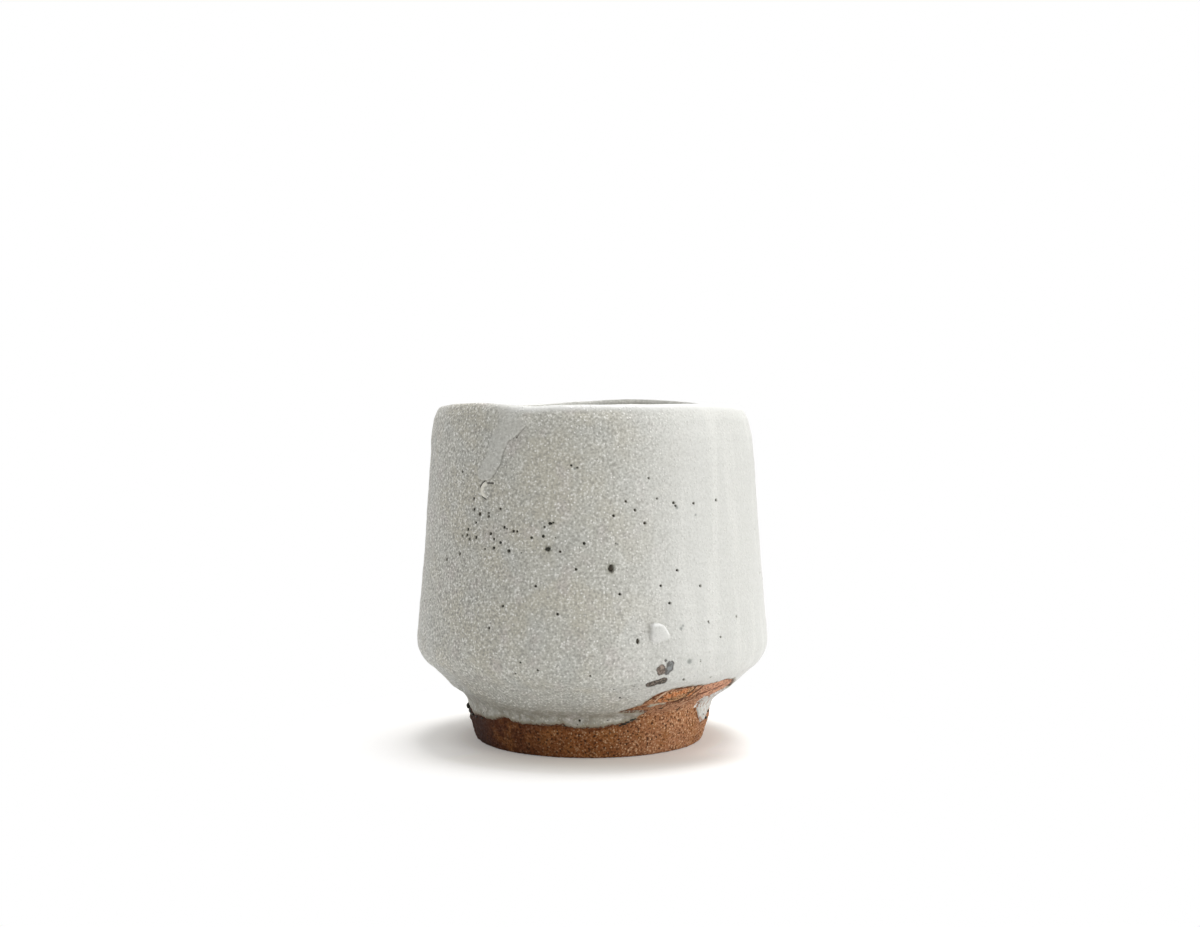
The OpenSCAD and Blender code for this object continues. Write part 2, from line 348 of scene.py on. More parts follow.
class Thrown:
    """A mesh spun round the cup's axis, whose points know where they lie on their outline."""

    # Sectors that copies of one spun sector fill, by doubling
    sectors: int = 16
    weld: float = 0.002

    def __init__(self, outline: Outline, steps: int) -> None:
        """Starts an empty mesh.

        Args:
            outline: the line that its rows lie on.
            steps: how many steps go round the axis.
        """
        self.outline = outline
        self.steps = steps
        self.mesh = bmesh.new()
        self.along = self.mesh.verts.layers.float.new("along")
        self.lift = self.mesh.verts.layers.float.new("lift")

    def spin(self, rows: Sequence[tuple[float, float]], closed: bool) -> None:
        """Spins rows round the axis.

        Args:
            rows: place along the outline and lift of each row, in order.
            closed: whether the last row joins the first.
        """
        verts = []
        for along, lift in rows:
            radius, height = self.outline.at(np.array(along), lift)
            vert = self.mesh.verts.new((0.0, -float(radius), float(height)))
            vert[self.along], vert[self.lift] = along, lift
            verts.append(vert)
        pairs = list(zip(verts, verts[1:])) + ([(verts[-1], verts[0])] if closed else [])
        edges = [self.mesh.edges.new(pair) for pair in pairs]
        self.whirl(verts, edges)

    def whirl(self, verts: list[bmesh.types.BMVert], edges: list[bmesh.types.BMEdge]) -> None:
        """Carries a line of points all the way round the axis.

        Args:
            verts: the line's points.
            edges: the line's edges.
        """
        angle = math.tau / self.sectors
        bmesh.ops.spin(self.mesh, geom=verts + edges, cent=(0, 0, 0), axis=(0, 0, 1), dvec=(0, 0, 0),
                       angle=angle, steps=self.steps // self.sectors, use_duplicate=False)
        for _ in range(int(math.log2(self.sectors))):
            shape = self.mesh.verts[:] + self.mesh.edges[:] + self.mesh.faces[:]
            copied = bmesh.ops.duplicate(self.mesh, geom=shape)["geom"]
            bmesh.ops.rotate(self.mesh, cent=(0, 0, 0), matrix=Matrix.Rotation(angle, 3, "Z"),
                             verts=[part for part in copied if isinstance(part, bmesh.types.BMVert)])
            angle *= 2.0
        bmesh.ops.remove_doubles(self.mesh, verts=self.mesh.verts, dist=self.weld)
        bmesh.ops.recalc_face_normals(self.mesh, faces=self.mesh.faces)

    def places(self) -> tuple[np.ndarray, np.ndarray, np.ndarray]:
        """Bearing, place along the outline and lift of every point."""
        self.mesh.verts.index_update()
        rows = np.array([(v.co.x, v.co.y, v[self.along], v[self.lift]) for v in self.mesh.verts])
        return np.arctan2(rows[:, 0], -rows[:, 1]), rows[:, 2], rows[:, 3]

    def refine(self, distance: Field, reach: float, least_lift: float = SHOWN) -> None:
        """Halves the faces near a feature.

        Args:
            distance: gives how far bearings and places along lie from the feature.
            reach: how near a face is halved.
            least_lift: the lift that all the points of such a face have at least.
        """
        bearing, along, lift = self.places()
        shown = lift > least_lift
        near = shown & (distance(bearing, along) < reach)
        chosen = set()
        for face in self.mesh.faces:
            corners = [vert.index for vert in face.verts]
            if any(near[i] for i in corners) and all(shown[i] for i in corners):
                chosen.update(face.edges)
        bmesh.ops.subdivide_edges(self.mesh, edges=[edge for edge in self.mesh.edges if edge in chosen],
                                  cuts=1, use_grid_fill=True)

    def settle(self, name: str, bearing: np.ndarray, along: np.ndarray, lift: np.ndarray,
               floor: float | None = None) -> bpy.types.Object:
        """Places every point on the hand-thrown form and makes the object.

        Args:
            name: the piece's name.
            bearing: each point's bearing.
            along: each point's place along the outline.
            lift: each point's final lift.
            floor: the lowest height that a point may have.

        Returns:
            The finished object.
        """
        radius, height = self.outline.at(along, lift)
        points = FORM.place(bearing, radius, height)
        if floor is not None:
            points[:, 2] = np.maximum(points[:, 2], floor * MM)
        for vert, point in zip(self.mesh.verts, points):
            vert.co = point
        return made_object(name, self.mesh, ("along", "lift"))


def made_object(name: str, shape: bmesh.types.BMesh, spent: Sequence[str] = ()) -> bpy.types.Object:
    """Turns a bmesh into a smooth object of the scene.

    Args:
        name: the piece's name.
        shape: its mesh, which is freed.
        spent: working layers that the mesh no longer needs.

    Returns:
        The object.
    """
    mesh = bpy.data.meshes.new(name)
    shape.to_mesh(mesh)
    shape.free()
    for layer in spent:
        if layer in mesh.attributes:
            mesh.attributes.remove(mesh.attributes[layer])
    mesh.shade_smooth()
    piece = bpy.data.objects.new(name, mesh)
    bpy.context.scene.collection.objects.link(piece)
    return piece


def paint(piece: bpy.types.Object, layers: dict[str, np.ndarray]) -> bpy.types.Object:
    """Keeps values on a piece's points, for its finish to read.

    Args:
        piece: the piece.
        layers: one value a point, by the name that the finish knows.

    Returns:
        The piece.
    """
    for name, values in layers.items():
        layer = piece.data.attributes.new(name, "FLOAT", "POINT")
        layer.data.foreach_set("value", np.ascontiguousarray(values, dtype=np.float32))
    return piece


@dataclass(frozen=True)
class Stroke:
    """A mark on the surface with round ends: bearing and height of both, and half its width."""

    bearing: float
    height: float
    to_bearing: float
    to_height: float
    half: float

    def distance(self, outline: Outline, bearing: np.ndarray, along: np.ndarray) -> np.ndarray:
        """How far places lie outside the mark, or inside it where negative."""
        radius, _ = outline.at(along, 0.0)
        start, end = math.radians(self.bearing), math.radians(self.to_bearing)
        from_along = outer_along(self.height)
        x, y = turn_between(bearing, start) * radius, along - from_along
        run_x, run_y = (end - start) * radius, outer_along(self.to_height) - from_along
        share = np.clip((x * run_x + y * run_y) / np.maximum(run_x ** 2 + run_y ** 2, 1e-9), 0.0, 1.0)
        return np.hypot(x - share * run_x, y - share * run_y) - self.half


def strokes(*rows: tuple[float, float, float, float, float]) -> tuple[Stroke, ...]:
    """Strokes, each given as bearing and height of its start and its end, and half its width."""
    return tuple(Stroke(*row) for row in rows)


def nearest_stroke(marks: Sequence[Stroke], bearing: np.ndarray, along: np.ndarray) -> np.ndarray:
    """Distance from places to the nearest of some marks."""
    return np.min([mark.distance(SKIN, bearing, along) for mark in marks], axis=0)


# Bearing, height and radius of the pinholes that show at the front, grouped as they cluster
PINHOLES = (
    (-49, 67, 0.2), (-42.5, 61, 0.25), (-42, 58.5, 0.25), (-31, 59, 0.2), (-39.5, 57.5, 0.32),
    (-35.6, 57.9, 0.19), (-35.6, 57.1, 0.22), (-41, 55.5, 0.2), (-44.5, 53.8, 0.26), (-44.7, 52.5, 0.24),
    (-47, 52.2, 0.22), (-43.5, 51.6, 0.28), (-40.5, 52.1, 0.27), (-34.5, 53.2, 0.25),
    (-33, 52, 0.2), (-30.5, 51.3, 0.22), (-29.2, 54.8, 0.25), (-28.2, 54.5, 0.17),
    (-25.8, 54, 0.3), (-24.5, 54, 0.24), (-19.5, 52.7, 0.27), (-15.6, 53.1, 0.3), (-15.2, 55.2, 0.22),
    (-13.5, 56, 0.3), (-12.9, 56, 0.22), (-12.3, 56.2, 0.2), (-11.5, 52.8, 0.16), (-10, 49.7, 0.25),
    (-33, 50, 0.24), (-36.5, 49.6, 0.17), (-22.8, 49.2, 0.16), (-48, 48, 0.26), (-55.5, 46.2, 0.26),
    (-2.4, 51.6, 0.29), (-4.9, 45.8, 0.27), (-17.7, 41.8, 0.25), (-28.6, 37, 0.27), (-10.5, 35.7, 0.27),
    (-33.3, 31.8, 0.22), (-6.7, 69.2, 0.22), (-4.7, 68.7, 0.2), (18.8, 66.2, 0.2), (11, 61, 0.24),
    (14, 59, 0.25), (7, 57.8, 0.28), (17.2, 56, 0.27), (21.5, 61.5, 0.2), (27.5, 60.4, 0.28),
    (28.2, 59.7, 0.23), (35.4, 60.1, 0.24), (45.6, 60.5, 0.28), (7.6, 51.6, 0.16), (28, 45.1, 0.25),
    (22, 41.8, 0.25), (8.7, 40.2, 0.26), (36.5, 41.2, 0.25), (24.8, 37.8, 0.27), (39, 32.9, 0.2),
    (52.6, 33.1, 0.26), (44, 29, 0.22), (-0.4, 21.8, 0.22), (13.5, 19.1, 0.24), (10, 15.9, 0.28),
    (30.5, 19.9, 0.26), (41.8, 19.5, 0.22), (-4.3, 9.4, 0.25), (15.4, 18.3, 0.15), (7.2, 18.3, 0.16),
    (35.3, 24, 0.15), (-66, 36, 0.2), (-22, 24.5, 0.2), (-16.5, 22.9, 0.24), (-24, 21.8, 0.2),
)
# The pinholes left of this bearing are larger by this share
LEFT_FROM, LEFT_SHARE = -29, 1.24

# Bearing, height, radius and length of the larger grains of iron at the front
IRON_GRAINS = (
    (6.1, 46, 0.62, 0.72), (-14, 50.2, 0.52, 0.42), (-27.3, 49.5, 0.36, 0.32), (14, 29.6, 0.3, 0.55),
)

# Grains that stayed under the coat and show only as grey dots: bearing, height and radius
VEILED = (
    (31.1, 24.3, 0.66), (28.4, 31.9, 0.42), (29.1, 32.5, 0.34), (-30.5, 51.3, 0.4), (8.2, 51.4, 0.25),
    (36.0, 57.4, 0.3), (28.6, 59.3, 0.45), (-5.4, 68.5, 0.4), (39.2, 32.6, 0.3), (35.2, 24.4, 0.24),
    (101, 37, 0.6), (-150, 33, 0.6), (163, 62, 0.5), (-118, 58, 0.5),
)


@dataclass(frozen=True)
class HiddenSpots:
    """Pinholes for the back, which doesn't show: clusters like those at the front."""

    seed: int = 17
    count: int = 46
    clusters: int = 7
    bearings: Span = (75, 285)
    heights: Span = (24, 72)
    spread: Span = (9, 5)
    lowest: float = 20.0
    highest: float = 78.0
    radii: Span = (0.16, 0.32)

    def drawn(self) -> list[tuple[float, float, float]]:
        """Bearing, height and radius of each."""
        draw = random.Random(self.seed)
        centres = [(draw.uniform(*self.bearings), draw.uniform(*self.heights)) for _ in range(self.clusters)]
        round_cup, up_cup = self.spread
        spots = []
        for _ in range(self.count):
            bearing, height = draw.choice(centres)
            spots.append(((bearing + draw.gauss(0, round_cup) + 180) % 360 - 180,
                          min(max(height + draw.gauss(0, up_cup), self.lowest), self.highest),
                          draw.uniform(*self.radii)))
        return spots


# Grains at the back, which doesn't show, and the one that shows on the far lip
HIDDEN_GRAINS = (
    (96, 48, 0.5, 0.5), (148, 40.5, 0.62, 0.66), (-161, 60, 0.42, 0.4), (-134, 43.5, 0.72, 0.7),
    (-98, 52.5, 0.45, 0.5), (171, 55.5, 0.38, 0.4), (160.5, 82.9, 0.5, 0.42),
)


@dataclass(frozen=True)
class Pit:
    """A small hole in the coat, with a grain of iron in its floor."""

    bearing: float
    height: float
    radius: float
    length: float
    @property
    def large(self) -> bool:
        """Whether it holds one of the larger grains."""
        return self.radius > 0.4

    def distance(self, bearing: np.ndarray, along: np.ndarray) -> np.ndarray:
        """How far places lie from its middle, with 1 at its edge."""
        radius, _ = SKIN.at(along, 0.0)
        across = turn_between(bearing, math.radians(self.bearing)) * radius / self.radius
        return np.hypot(across, (along - outer_along(self.height)) / self.length)


def all_pits() -> list[Pit]:
    """Every pit of the coat, the front's first."""
    small = [(b, z, r * (LEFT_SHARE if b < LEFT_FROM else 1.0)) for b, z, r in PINHOLES]
    small += HiddenSpots().drawn()
    return [Pit(b, z, r, r) for b, z, r in small] + [Pit(*grain) for grain in IRON_GRAINS + HIDDEN_GRAINS]


@dataclass
class HemLine:
    """The edge of the outer coat: round the foot, up round the bare patch and back."""

    # Bearing and height of the edge, from the back, round the left and the front, to the back again
    path: tuple[tuple[float, float], ...] = (
        (-181, 8.2), (-170, 7.8), (-161, 8.6), (-152, 8.9), (-143, 8.0), (-134, 7.6), (-125, 8.2),
        (-116, 8.7), (-107, 8.1), (-98, 7.7), (-90, 8.1), (-82, 8.4), (-75, 8.0), (-69, 7.3),
        (-62, 7.6), (-57, 7.4), (-51.5, 7.4), (-46.3, 8.1), (-43, 8.5), (-39.8, 8.4), (-37.7, 7.9),
        (-32, 7.6), (-25, 7.9), (-19.5, 7.8), (-13.8, 8.0), (-11, 8.1), (-8.8, 7.8), (-5.5, 7.6),
        (-2.2, 7.5), (2.6, 7.45), (6.4, 7.6), (8.2, 8.0), (10.7, 8.2), (14.1, 8.4), (17.1, 8.5),
        (19.2, 8.8), (21.6, 9.4), (23.4, 10.2), (24.6, 10.8), (22.5, 11.3), (19.7, 11.45),
        (15.2, 11.5), (12.6, 11.7), (12.6, 11.85), (14.4, 12.2), (16.9, 12.8), (19.7, 13.5),
        (21.1, 14.4), (22.4, 15.5), (25.4, 16.4), (27.7, 17.0), (31.6, 17.4), (35.9, 17.4),
        (39.2, 17.1), (44.3, 16.8), (49.7, 16.9), (54.9, 16.9), (61.3, 16.2), (66.5, 15.3),
        (71, 14.3), (74, 13.2), (73, 12.3), (69, 11.8), (64, 11.6), (60.2, 11.2), (58.6, 10.6),
        (59.2, 9.8), (60.3, 8.8), (61.3, 7.8), (62.6, 6.7), (64.8, 5.9), (67.8, 5.8), (70.4, 6.5),
        (74, 7.5), (80, 8.3), (87, 8.6),
        (95, 8.0), (104, 7.6), (113, 8.2), (122, 8.7), (131, 8.2), (140, 7.7), (149, 8.1),
        (158, 8.8), (167, 8.4), (175, 8.0), (181, 8.2),
    )
    # No place above this height is near the edge
    top: float = 21.0

    def __post_init__(self) -> None:
        """Measures the edge along the coat's outline."""
        self.bearing = np.radians([row[0] for row in self.path])
        self.along = outer_alongs(np.array([row[1] for row in self.path]))
        self.from_along = outer_along(self.top)

    def inside(self, bearing: np.ndarray, along: np.ndarray) -> np.ndarray:
        """How far inside the coat places lie.

        Args:
            bearing: their bearings.
            along: their places along the outline.

        Returns:
            Distances from the edge, negative on the bare clay.
        """
        found = np.full(len(along), FAR)
        low = np.nonzero(along > self.from_along)[0]
        place_b, place_s = bearing[low][:, None], along[low][:, None]
        radius = np.interp(along[low], SKIN.along, SKIN.r)[:, None]
        b0, b1 = self.bearing[:-1][None, :], self.bearing[1:][None, :]
        s0, s1 = self.along[:-1][None, :], self.along[1:][None, :]
        run_x, run_y = (b1 - b0) * radius, s1 - s0
        x, y = (place_b - b0) * radius, place_s - s0
        share = np.clip((x * run_x + y * run_y) / np.maximum(run_x ** 2 + run_y ** 2, 1e-9), 0.0, 1.0)
        reach = np.min(np.hypot(x - share * run_x, y - share * run_y), axis=1)
        spans = (b0 <= place_b) != (b1 <= place_b)
        slope = (place_b - b0) / np.where(b1 == b0, 1.0, b1 - b0)
        crossed = np.sum(spans & (s0 + slope * (s1 - s0) > place_s), axis=1)
        found[low] = np.where(crossed % 2 == 1, reach, -reach)
        return found


HEM = HemLine()


@dataclass(frozen=True)
class Grit:
    """The roughness of bare clay, the same wherever two pieces of it meet."""

    fine: Layers = ((0.045, 0.8, 5.1), (0.03, 0.45, 8.3))
    # Height, least noise, width and seed of the stones that stand out and the holes that were torn
    stones: tuple[float, float, float, float] = (0.3, 0.42, 1.7, 21.0)
    torn: tuple[float, float, float, float] = (0.45, 0.45, 1.2, 33.0)
    ring_height: float = 0.03
    ring_pitch: float = 4.6
    ring_wander: Layers = ((1.5, 9.0, 2.0),)

    def height(self, points: np.ndarray) -> np.ndarray:
        """Height of the grit at places in millimetres."""
        stones, torn = (tall * np.maximum(lumps(points, width, seed) - least, 0.0)
                        for tall, least, width, seed in (self.stones, self.torn))
        rings = np.sin(points[:, 2] * self.ring_pitch + lumpy(points, self.ring_wander))
        return lumpy(points, self.fine) + stones - torn + self.ring_height * rings


GRIT = Grit()


@dataclass(frozen=True)
class Places:
    """Where a coat's points lie: round the axis, along the outline, in the true form, and inside its edge."""

    bearing: np.ndarray
    along: np.ndarray
    points: np.ndarray
    inside: np.ndarray


@dataclass(frozen=True)
class OuterCoat:
    """The white coat on the outside, with its hem, pits, scars and blister."""

    row: float = 0.65
    back_row: float = 6.0
    sunk_row: float = 1.6
    steps: int = 368
    refined: tuple[float, ...] = (1.15, 0.54)
    back_lift: float = -0.66
    sunk_lift: float = -1.25
    ring_height: float = 0.022
    ring_pitch: float = 1.75
    ring_sway: float = 0.9
    ring_wander: Layers = ((2.0, 26.0, 1.0),)
    lumps: Layers = ((0.1, 6.0, 0.3), (0.035, 1.9, 6.0))
    crust: Layers = ((0.13, 1.5, 23.0),)
    crust_from: Span = (0.8, 1.3)
    crust_below: Span = (20.0, 26.0)
    # Swell, height and width of the ridge and the groove on the underside's slope
    ridges: tuple[tuple[float, float, float], ...] = ((0.1, 19.6, 0.8), (-0.07, 17.4, 0.5))
    calm_edge: Span = (0.3, 2.5)
    hem_round: float = 1.5
    hem_sink: float = 0.45
    roll: float = 0.1
    roll_at: Span = (1.7, 0.9)
    roll_below: Span = (8.5, 10.5)
    edge_wander: Layers = ((0.28, 2.4, 11.0), (0.16, 0.8, 4.0))
    torn_wander: Layers = ((0.3, 1.2, 40.0), (0.2, 0.5, 50.0))
    torn_right: Span = (8.0, 13.0)
    torn_above: Span = (5.0, 11.0)
    scar_wander: Layers = ((0.14, 0.9, 14.0), (0.14, 0.45, 24.0))
    pit_depth: float = 0.42
    pit_rim: float = 0.03
    scar_depth: float = 0.14
    crack_depth: float = 0.2
    # Bearings in radians where the drip sets in and ends, and the heights that it ends at
    drip_from: Span = (0.95, 1.02)
    drip_to: Span = (1.24, 1.34)
    drip_below: Span = (11.5, 13.0)
    drip_sink: float = 0.26
    blister_height: float = 0.34
    blister: tuple[float, float] = (-36.4, 63.2)
    blister_r: float = 1.95
    scar_left: tuple[Stroke, ...] = strokes((21.6, 23.2, 21.9, 22.5, 0.98), (20.9, 23.0, 21.1, 22.1, 0.66))
    scar_right: tuple[Stroke, ...] = strokes(
        (24.2, 23.9, 24.2, 22.9, 0.84), (24.9, 24.2, 24.7, 22.9, 0.62), (23.3, 22.6, 23.6, 22.1, 0.66))
    scar_spur: tuple[Stroke, ...] = strokes((22.8, 25.0, 22.9, 24.9, 0.3))
    scar_notch: tuple[Stroke, ...] = strokes((22.7, 24.5, 22.75, 24.0, 0.32))
    scar_low: tuple[Stroke, ...] = strokes(
        (18.8, 19.5, 23.2, 20.2, 0.76), (18.6, 19.35, 19.6, 19.5, 0.94), (22.2, 20.0, 23.1, 20.2, 0.9))
    cracks: tuple[Stroke, ...] = strokes(
        (-39.7, 63.9, -38.1, 65.1, 0.2), (-38.1, 65.1, -37.2, 65.6, 0.15), (-36.5, 64.75, -34.3, 64.85, 0.2),
        (-38.6, 61.5, -36.9, 61.0, 0.14), (-24.8, 76.6, -25.4, 76.0, 0.2))

    def build(self) -> bpy.types.Object:
        """Spins the coat, refines it where it has features, and shapes them.

        Returns:
            The coat, with the values that its finish reads.
        """
        deep = outer_along(HEM.top)
        coat = Thrown(SKIN, self.steps)
        rows = SKIN.rows(COATS_MEET, SKIN.length, self.row)
        rows += SKIN.rows(SKIN.length, deep + 1.0, self.sunk_row, self.sunk_lift)
        rows += SKIN.rows(deep - 1.0, COATS_MEET, self.back_row, self.back_lift)
        coat.spin(rows, closed=True)
        pits = all_pits()
        for reach in self.refined:
            coat.refine(lambda b, s, limit=reach: self._near_feature(b, s, pits, limit), reach)
        bearing, along, lift = coat.places()
        points = true_points(SKIN, bearing, along)
        inside = self._ragged(HEM.inside(bearing, along), points)
        change, layers = self._shape(Places(bearing, along, points, inside), pits)
        piece = coat.settle("outer_coat", bearing, along, np.where(lift > SHOWN, change, lift))
        return paint(piece, layers)

    def _near_feature(self, bearing: np.ndarray, along: np.ndarray, pits: Sequence[Pit],
                      reach: float) -> np.ndarray:
        """Distance from places to the nearest pit, scar, crack, blister or edge of the coat."""
        found = np.abs(HEM.inside(bearing, along))
        for pit in pits:
            found = np.minimum(found, (pit.distance(bearing, along) - 1.0) * pit.radius + reach * 0.3)
        for b, z, r in VEILED:
            found = np.minimum(found, (Pit(b, z, r, r).distance(bearing, along) - 1.3) * r)
        marks = (*self.scar_left, *self.scar_right, *self.scar_low, *self.scar_spur, *self.cracks,
                 Stroke(*self.blister, *self.blister, self.blister_r))
        return np.minimum(found, nearest_stroke(marks, bearing, along))

    def _ragged(self, inside: np.ndarray, points: np.ndarray) -> np.ndarray:
        """The distance from the edge, with the small wander that a real edge has."""
        near = np.abs(inside) < 3.0
        close = points[near]
        torn = eased(close[:, 0], *self.torn_right) * eased(close[:, 2], *self.torn_above)
        inside = inside.copy()
        inside[near] += lumpy(close, self.edge_wander) + torn * lumpy(close, self.torn_wander)
        return inside

    def _shape(self, at: Places, pits: Sequence[Pit]) -> tuple[np.ndarray, dict[str, np.ndarray]]:
        """The coat's height over its true face, and the values that its finish reads.

        Args:
            at: where its points lie.
            pits: its pits.

        Returns:
            The heights, and the values by name.
        """
        surface = self._thickness(at)
        layers = {"pit": self._sink_pits(surface, at, pits)}
        scarred, scars = self._scars(at)
        crescent = self._crescent(at)
        drip = eased(at.bearing, *self.drip_from) * fading(at.bearing, *self.drip_to)
        drip *= fading(at.points[:, 2], *self.drip_below)
        surface += scarred + self.blister_height * crescent
        surface -= self.drip_sink * drip * eased(at.inside, 0.0, 1.0)
        return surface, layers | scars | {
            "thin": fading(at.inside, 0.0, 2.4) * (1.0 - drip),
            "drip": drip,
            "lip": lip_highlight_share(at.along),
            "crescent": crescent,
            "veiled": self._veils(at),
        }

    def _thickness(self, at: Places) -> np.ndarray:
        """The swell of the coat: rings, lumps, its rolled hem, and its fall to the clay past the edge."""
        points, inside, height = at.points, at.inside, at.points[:, 2]
        turns = height * self.ring_pitch + self.ring_sway * np.sin(at.bearing)
        surface = self.ring_height * np.sin(turns + lumpy(points, self.ring_wander))
        surface += lumpy(points, self.lumps)
        crusty = eased(-at.bearing, *self.crust_from) * fading(height, *self.crust_below)
        surface += crusty * lumpy(points, self.crust)
        surface += sum(swell * hump(height, middle, width) for swell, middle, width in self.ridges)
        surface *= eased(inside, *self.calm_edge)
        share = np.clip(inside / self.hem_round, 0.0, 1.0)
        hem = -FORM.glaze * (1.0 - np.sqrt(1.0 - (1.0 - share) ** 2))
        hem = np.where(inside < 0.0, -FORM.glaze - np.minimum(-inside * 0.9, self.hem_sink), hem)
        return surface + hem + self.roll * hump(inside, *self.roll_at) * fading(height, *self.roll_below)

    def _sink_pits(self, surface: np.ndarray, at: Places, pits: Sequence[Pit]) -> np.ndarray:
        """Sinks the pits in the coat's heights and gives how strongly iron stains each place."""
        tint = np.zeros(len(surface))
        for pit in pits:
            away = pit.distance(at.bearing, at.along)
            near = np.nonzero(away < 3.0)[0]
            away = away[near]
            hollow = np.clip(1.0 - (away / 1.35) ** 2, 0.0, 1.0)
            surface[near] -= self.pit_depth * np.sqrt(hollow) * min(1.0, pit.radius / 0.25)
            surface[near] += self.pit_rim * hump(away, 1.7, 0.4)
            if pit.large:
                blot = away + 0.8 * lumps(at.points[near], 0.6, 61.0)
                stain = np.exp(-np.maximum(blot, 0.0) ** 2 / 2.2)
            else:
                stain = np.exp(-(away / 1.18) ** 6)
            tint[near] = np.maximum(tint[near], stain)
        return tint

    def _scars(self, at: Places) -> tuple[np.ndarray, dict[str, np.ndarray]]:
        """The scars at the lower right and the fine cracks.

        Args:
            at: where the coat's points lie.

        Returns:
            What they add to the coat's height, and the values that its finish reads.
        """
        wander = lumpy(at.points, self.scar_wander)
        left, right, spur, notch, low, crack = (
            nearest_stroke(marks, at.bearing, at.along) + wander * share
            for marks, share in ((self.scar_left, 1.0), (self.scar_right, 0.6), (self.scar_spur, 0.3),
                                 (self.scar_notch, 0.0), (self.scar_low, 0.5), (self.cracks, 0.15)))
        lobes = np.maximum(np.minimum(left, right), -notch)
        whole = np.minimum(np.minimum(lobes, low), spur)
        depth = self.scar_depth * fading(whole, -0.3, 0.05) + self.crack_depth * fading(crack, -0.08, 0.06)
        return -depth, {
            "scar": fading(whole, -0.06, 0.05),
            "scar_cool": eased(left - right, 0.0, 0.35),
            "scar_low": eased(lobes - low, -0.1, 0.1),
            "scar_edge": eased(whole, -0.42, -0.05) * fading(whole, -0.04, 0.06),
            "crack": fading(crack, -0.05, 0.06),
        }

    def _crescent(self, at: Places) -> np.ndarray:
        """How high the left wall of the burst blister stands at each place, which is also where a highlight
        is painted on that wall.
        """
        bearing, height = self.blister
        radius = np.interp(at.along, SKIN.along, SKIN.r)
        away = np.hypot(turn_between(at.bearing, math.radians(bearing)) * radius,
                        at.along - outer_along(height)) / self.blister_r
        west = fading(turn_between(at.bearing, math.radians(bearing + 0.4)), -0.03, 0.004)
        return west * eased(away, 0.44, 0.72) * fading(away, 0.95, 1.05)

    @staticmethod
    def _veils(at: Places) -> np.ndarray:
        """How strongly a grain under the coat shows at each place."""
        shade = np.zeros(len(at.along))
        for b, z, r in VEILED:
            away = Pit(b, z, r, r).distance(at.bearing, at.along)
            shade = np.maximum(shade, np.exp(-(away / 0.95) ** 4))
        return shade


@dataclass(frozen=True)
class Liner:
    """The coat on the inside, from the lip down to a shallow pool on the floor."""

    row: float = 0.95
    back_row: float = 6.0
    steps: int = 400
    behind: float = 0.04
    ring_height: float = 0.13
    ring_pitch: float = 1.25
    ring_wander: Layers = ((1.6, 30.0, 9.0),)
    lumps: Layers = ((0.1, 7.0, 12.0),)
    lip_lumps: Layers = ((0.09, 5.0, 0.3),)
    lip_reach: Span = (2.0, 9.0)
    pool: Span = (14.0, 26.0)

    def build(self) -> bpy.types.Object:
        """Spins the liner and gives it its throwing rings.

        Returns:
            The liner.
        """
        liner = Thrown(SKIN, self.steps)
        liner.spin(SKIN.rows(COATS_MEET, 0.0, self.row)
                   + SKIN.rows(0.0, COATS_MEET, self.back_row, -FORM.glaze - self.behind), closed=False)
        bearing, along, lift = liner.places()
        points = true_points(SKIN, bearing, along)
        spiral = np.sin(along * self.ring_pitch - bearing + lumpy(points, self.ring_wander))
        fade = eased(COATS_MEET - along, *self.lip_reach)
        change = fade * (self.ring_height * spiral + lumpy(points, self.lumps))
        change += (1.0 - fade) * lumpy(points, self.lip_lumps)
        piece = liner.settle("inner_coat", bearing, along, np.where(lift > SHOWN, change, lift))
        return paint(piece, {"pool": fading(along, *self.pool)})


@dataclass(frozen=True)
class PatchMark:
    """Strokes of one kind in the bare patch, how their edges wander, and how high they stand."""

    name: str
    wander: Layers
    swell: float
    marks: tuple[Stroke, ...]
    soft: Span = (-0.1, 0.08)

    def share(self, at: Places) -> np.ndarray:
        """How strongly the mark shows at each place."""
        away = nearest_stroke(self.marks, at.bearing, at.along)
        return fading(away + lumpy(at.points, self.wander), *self.soft)
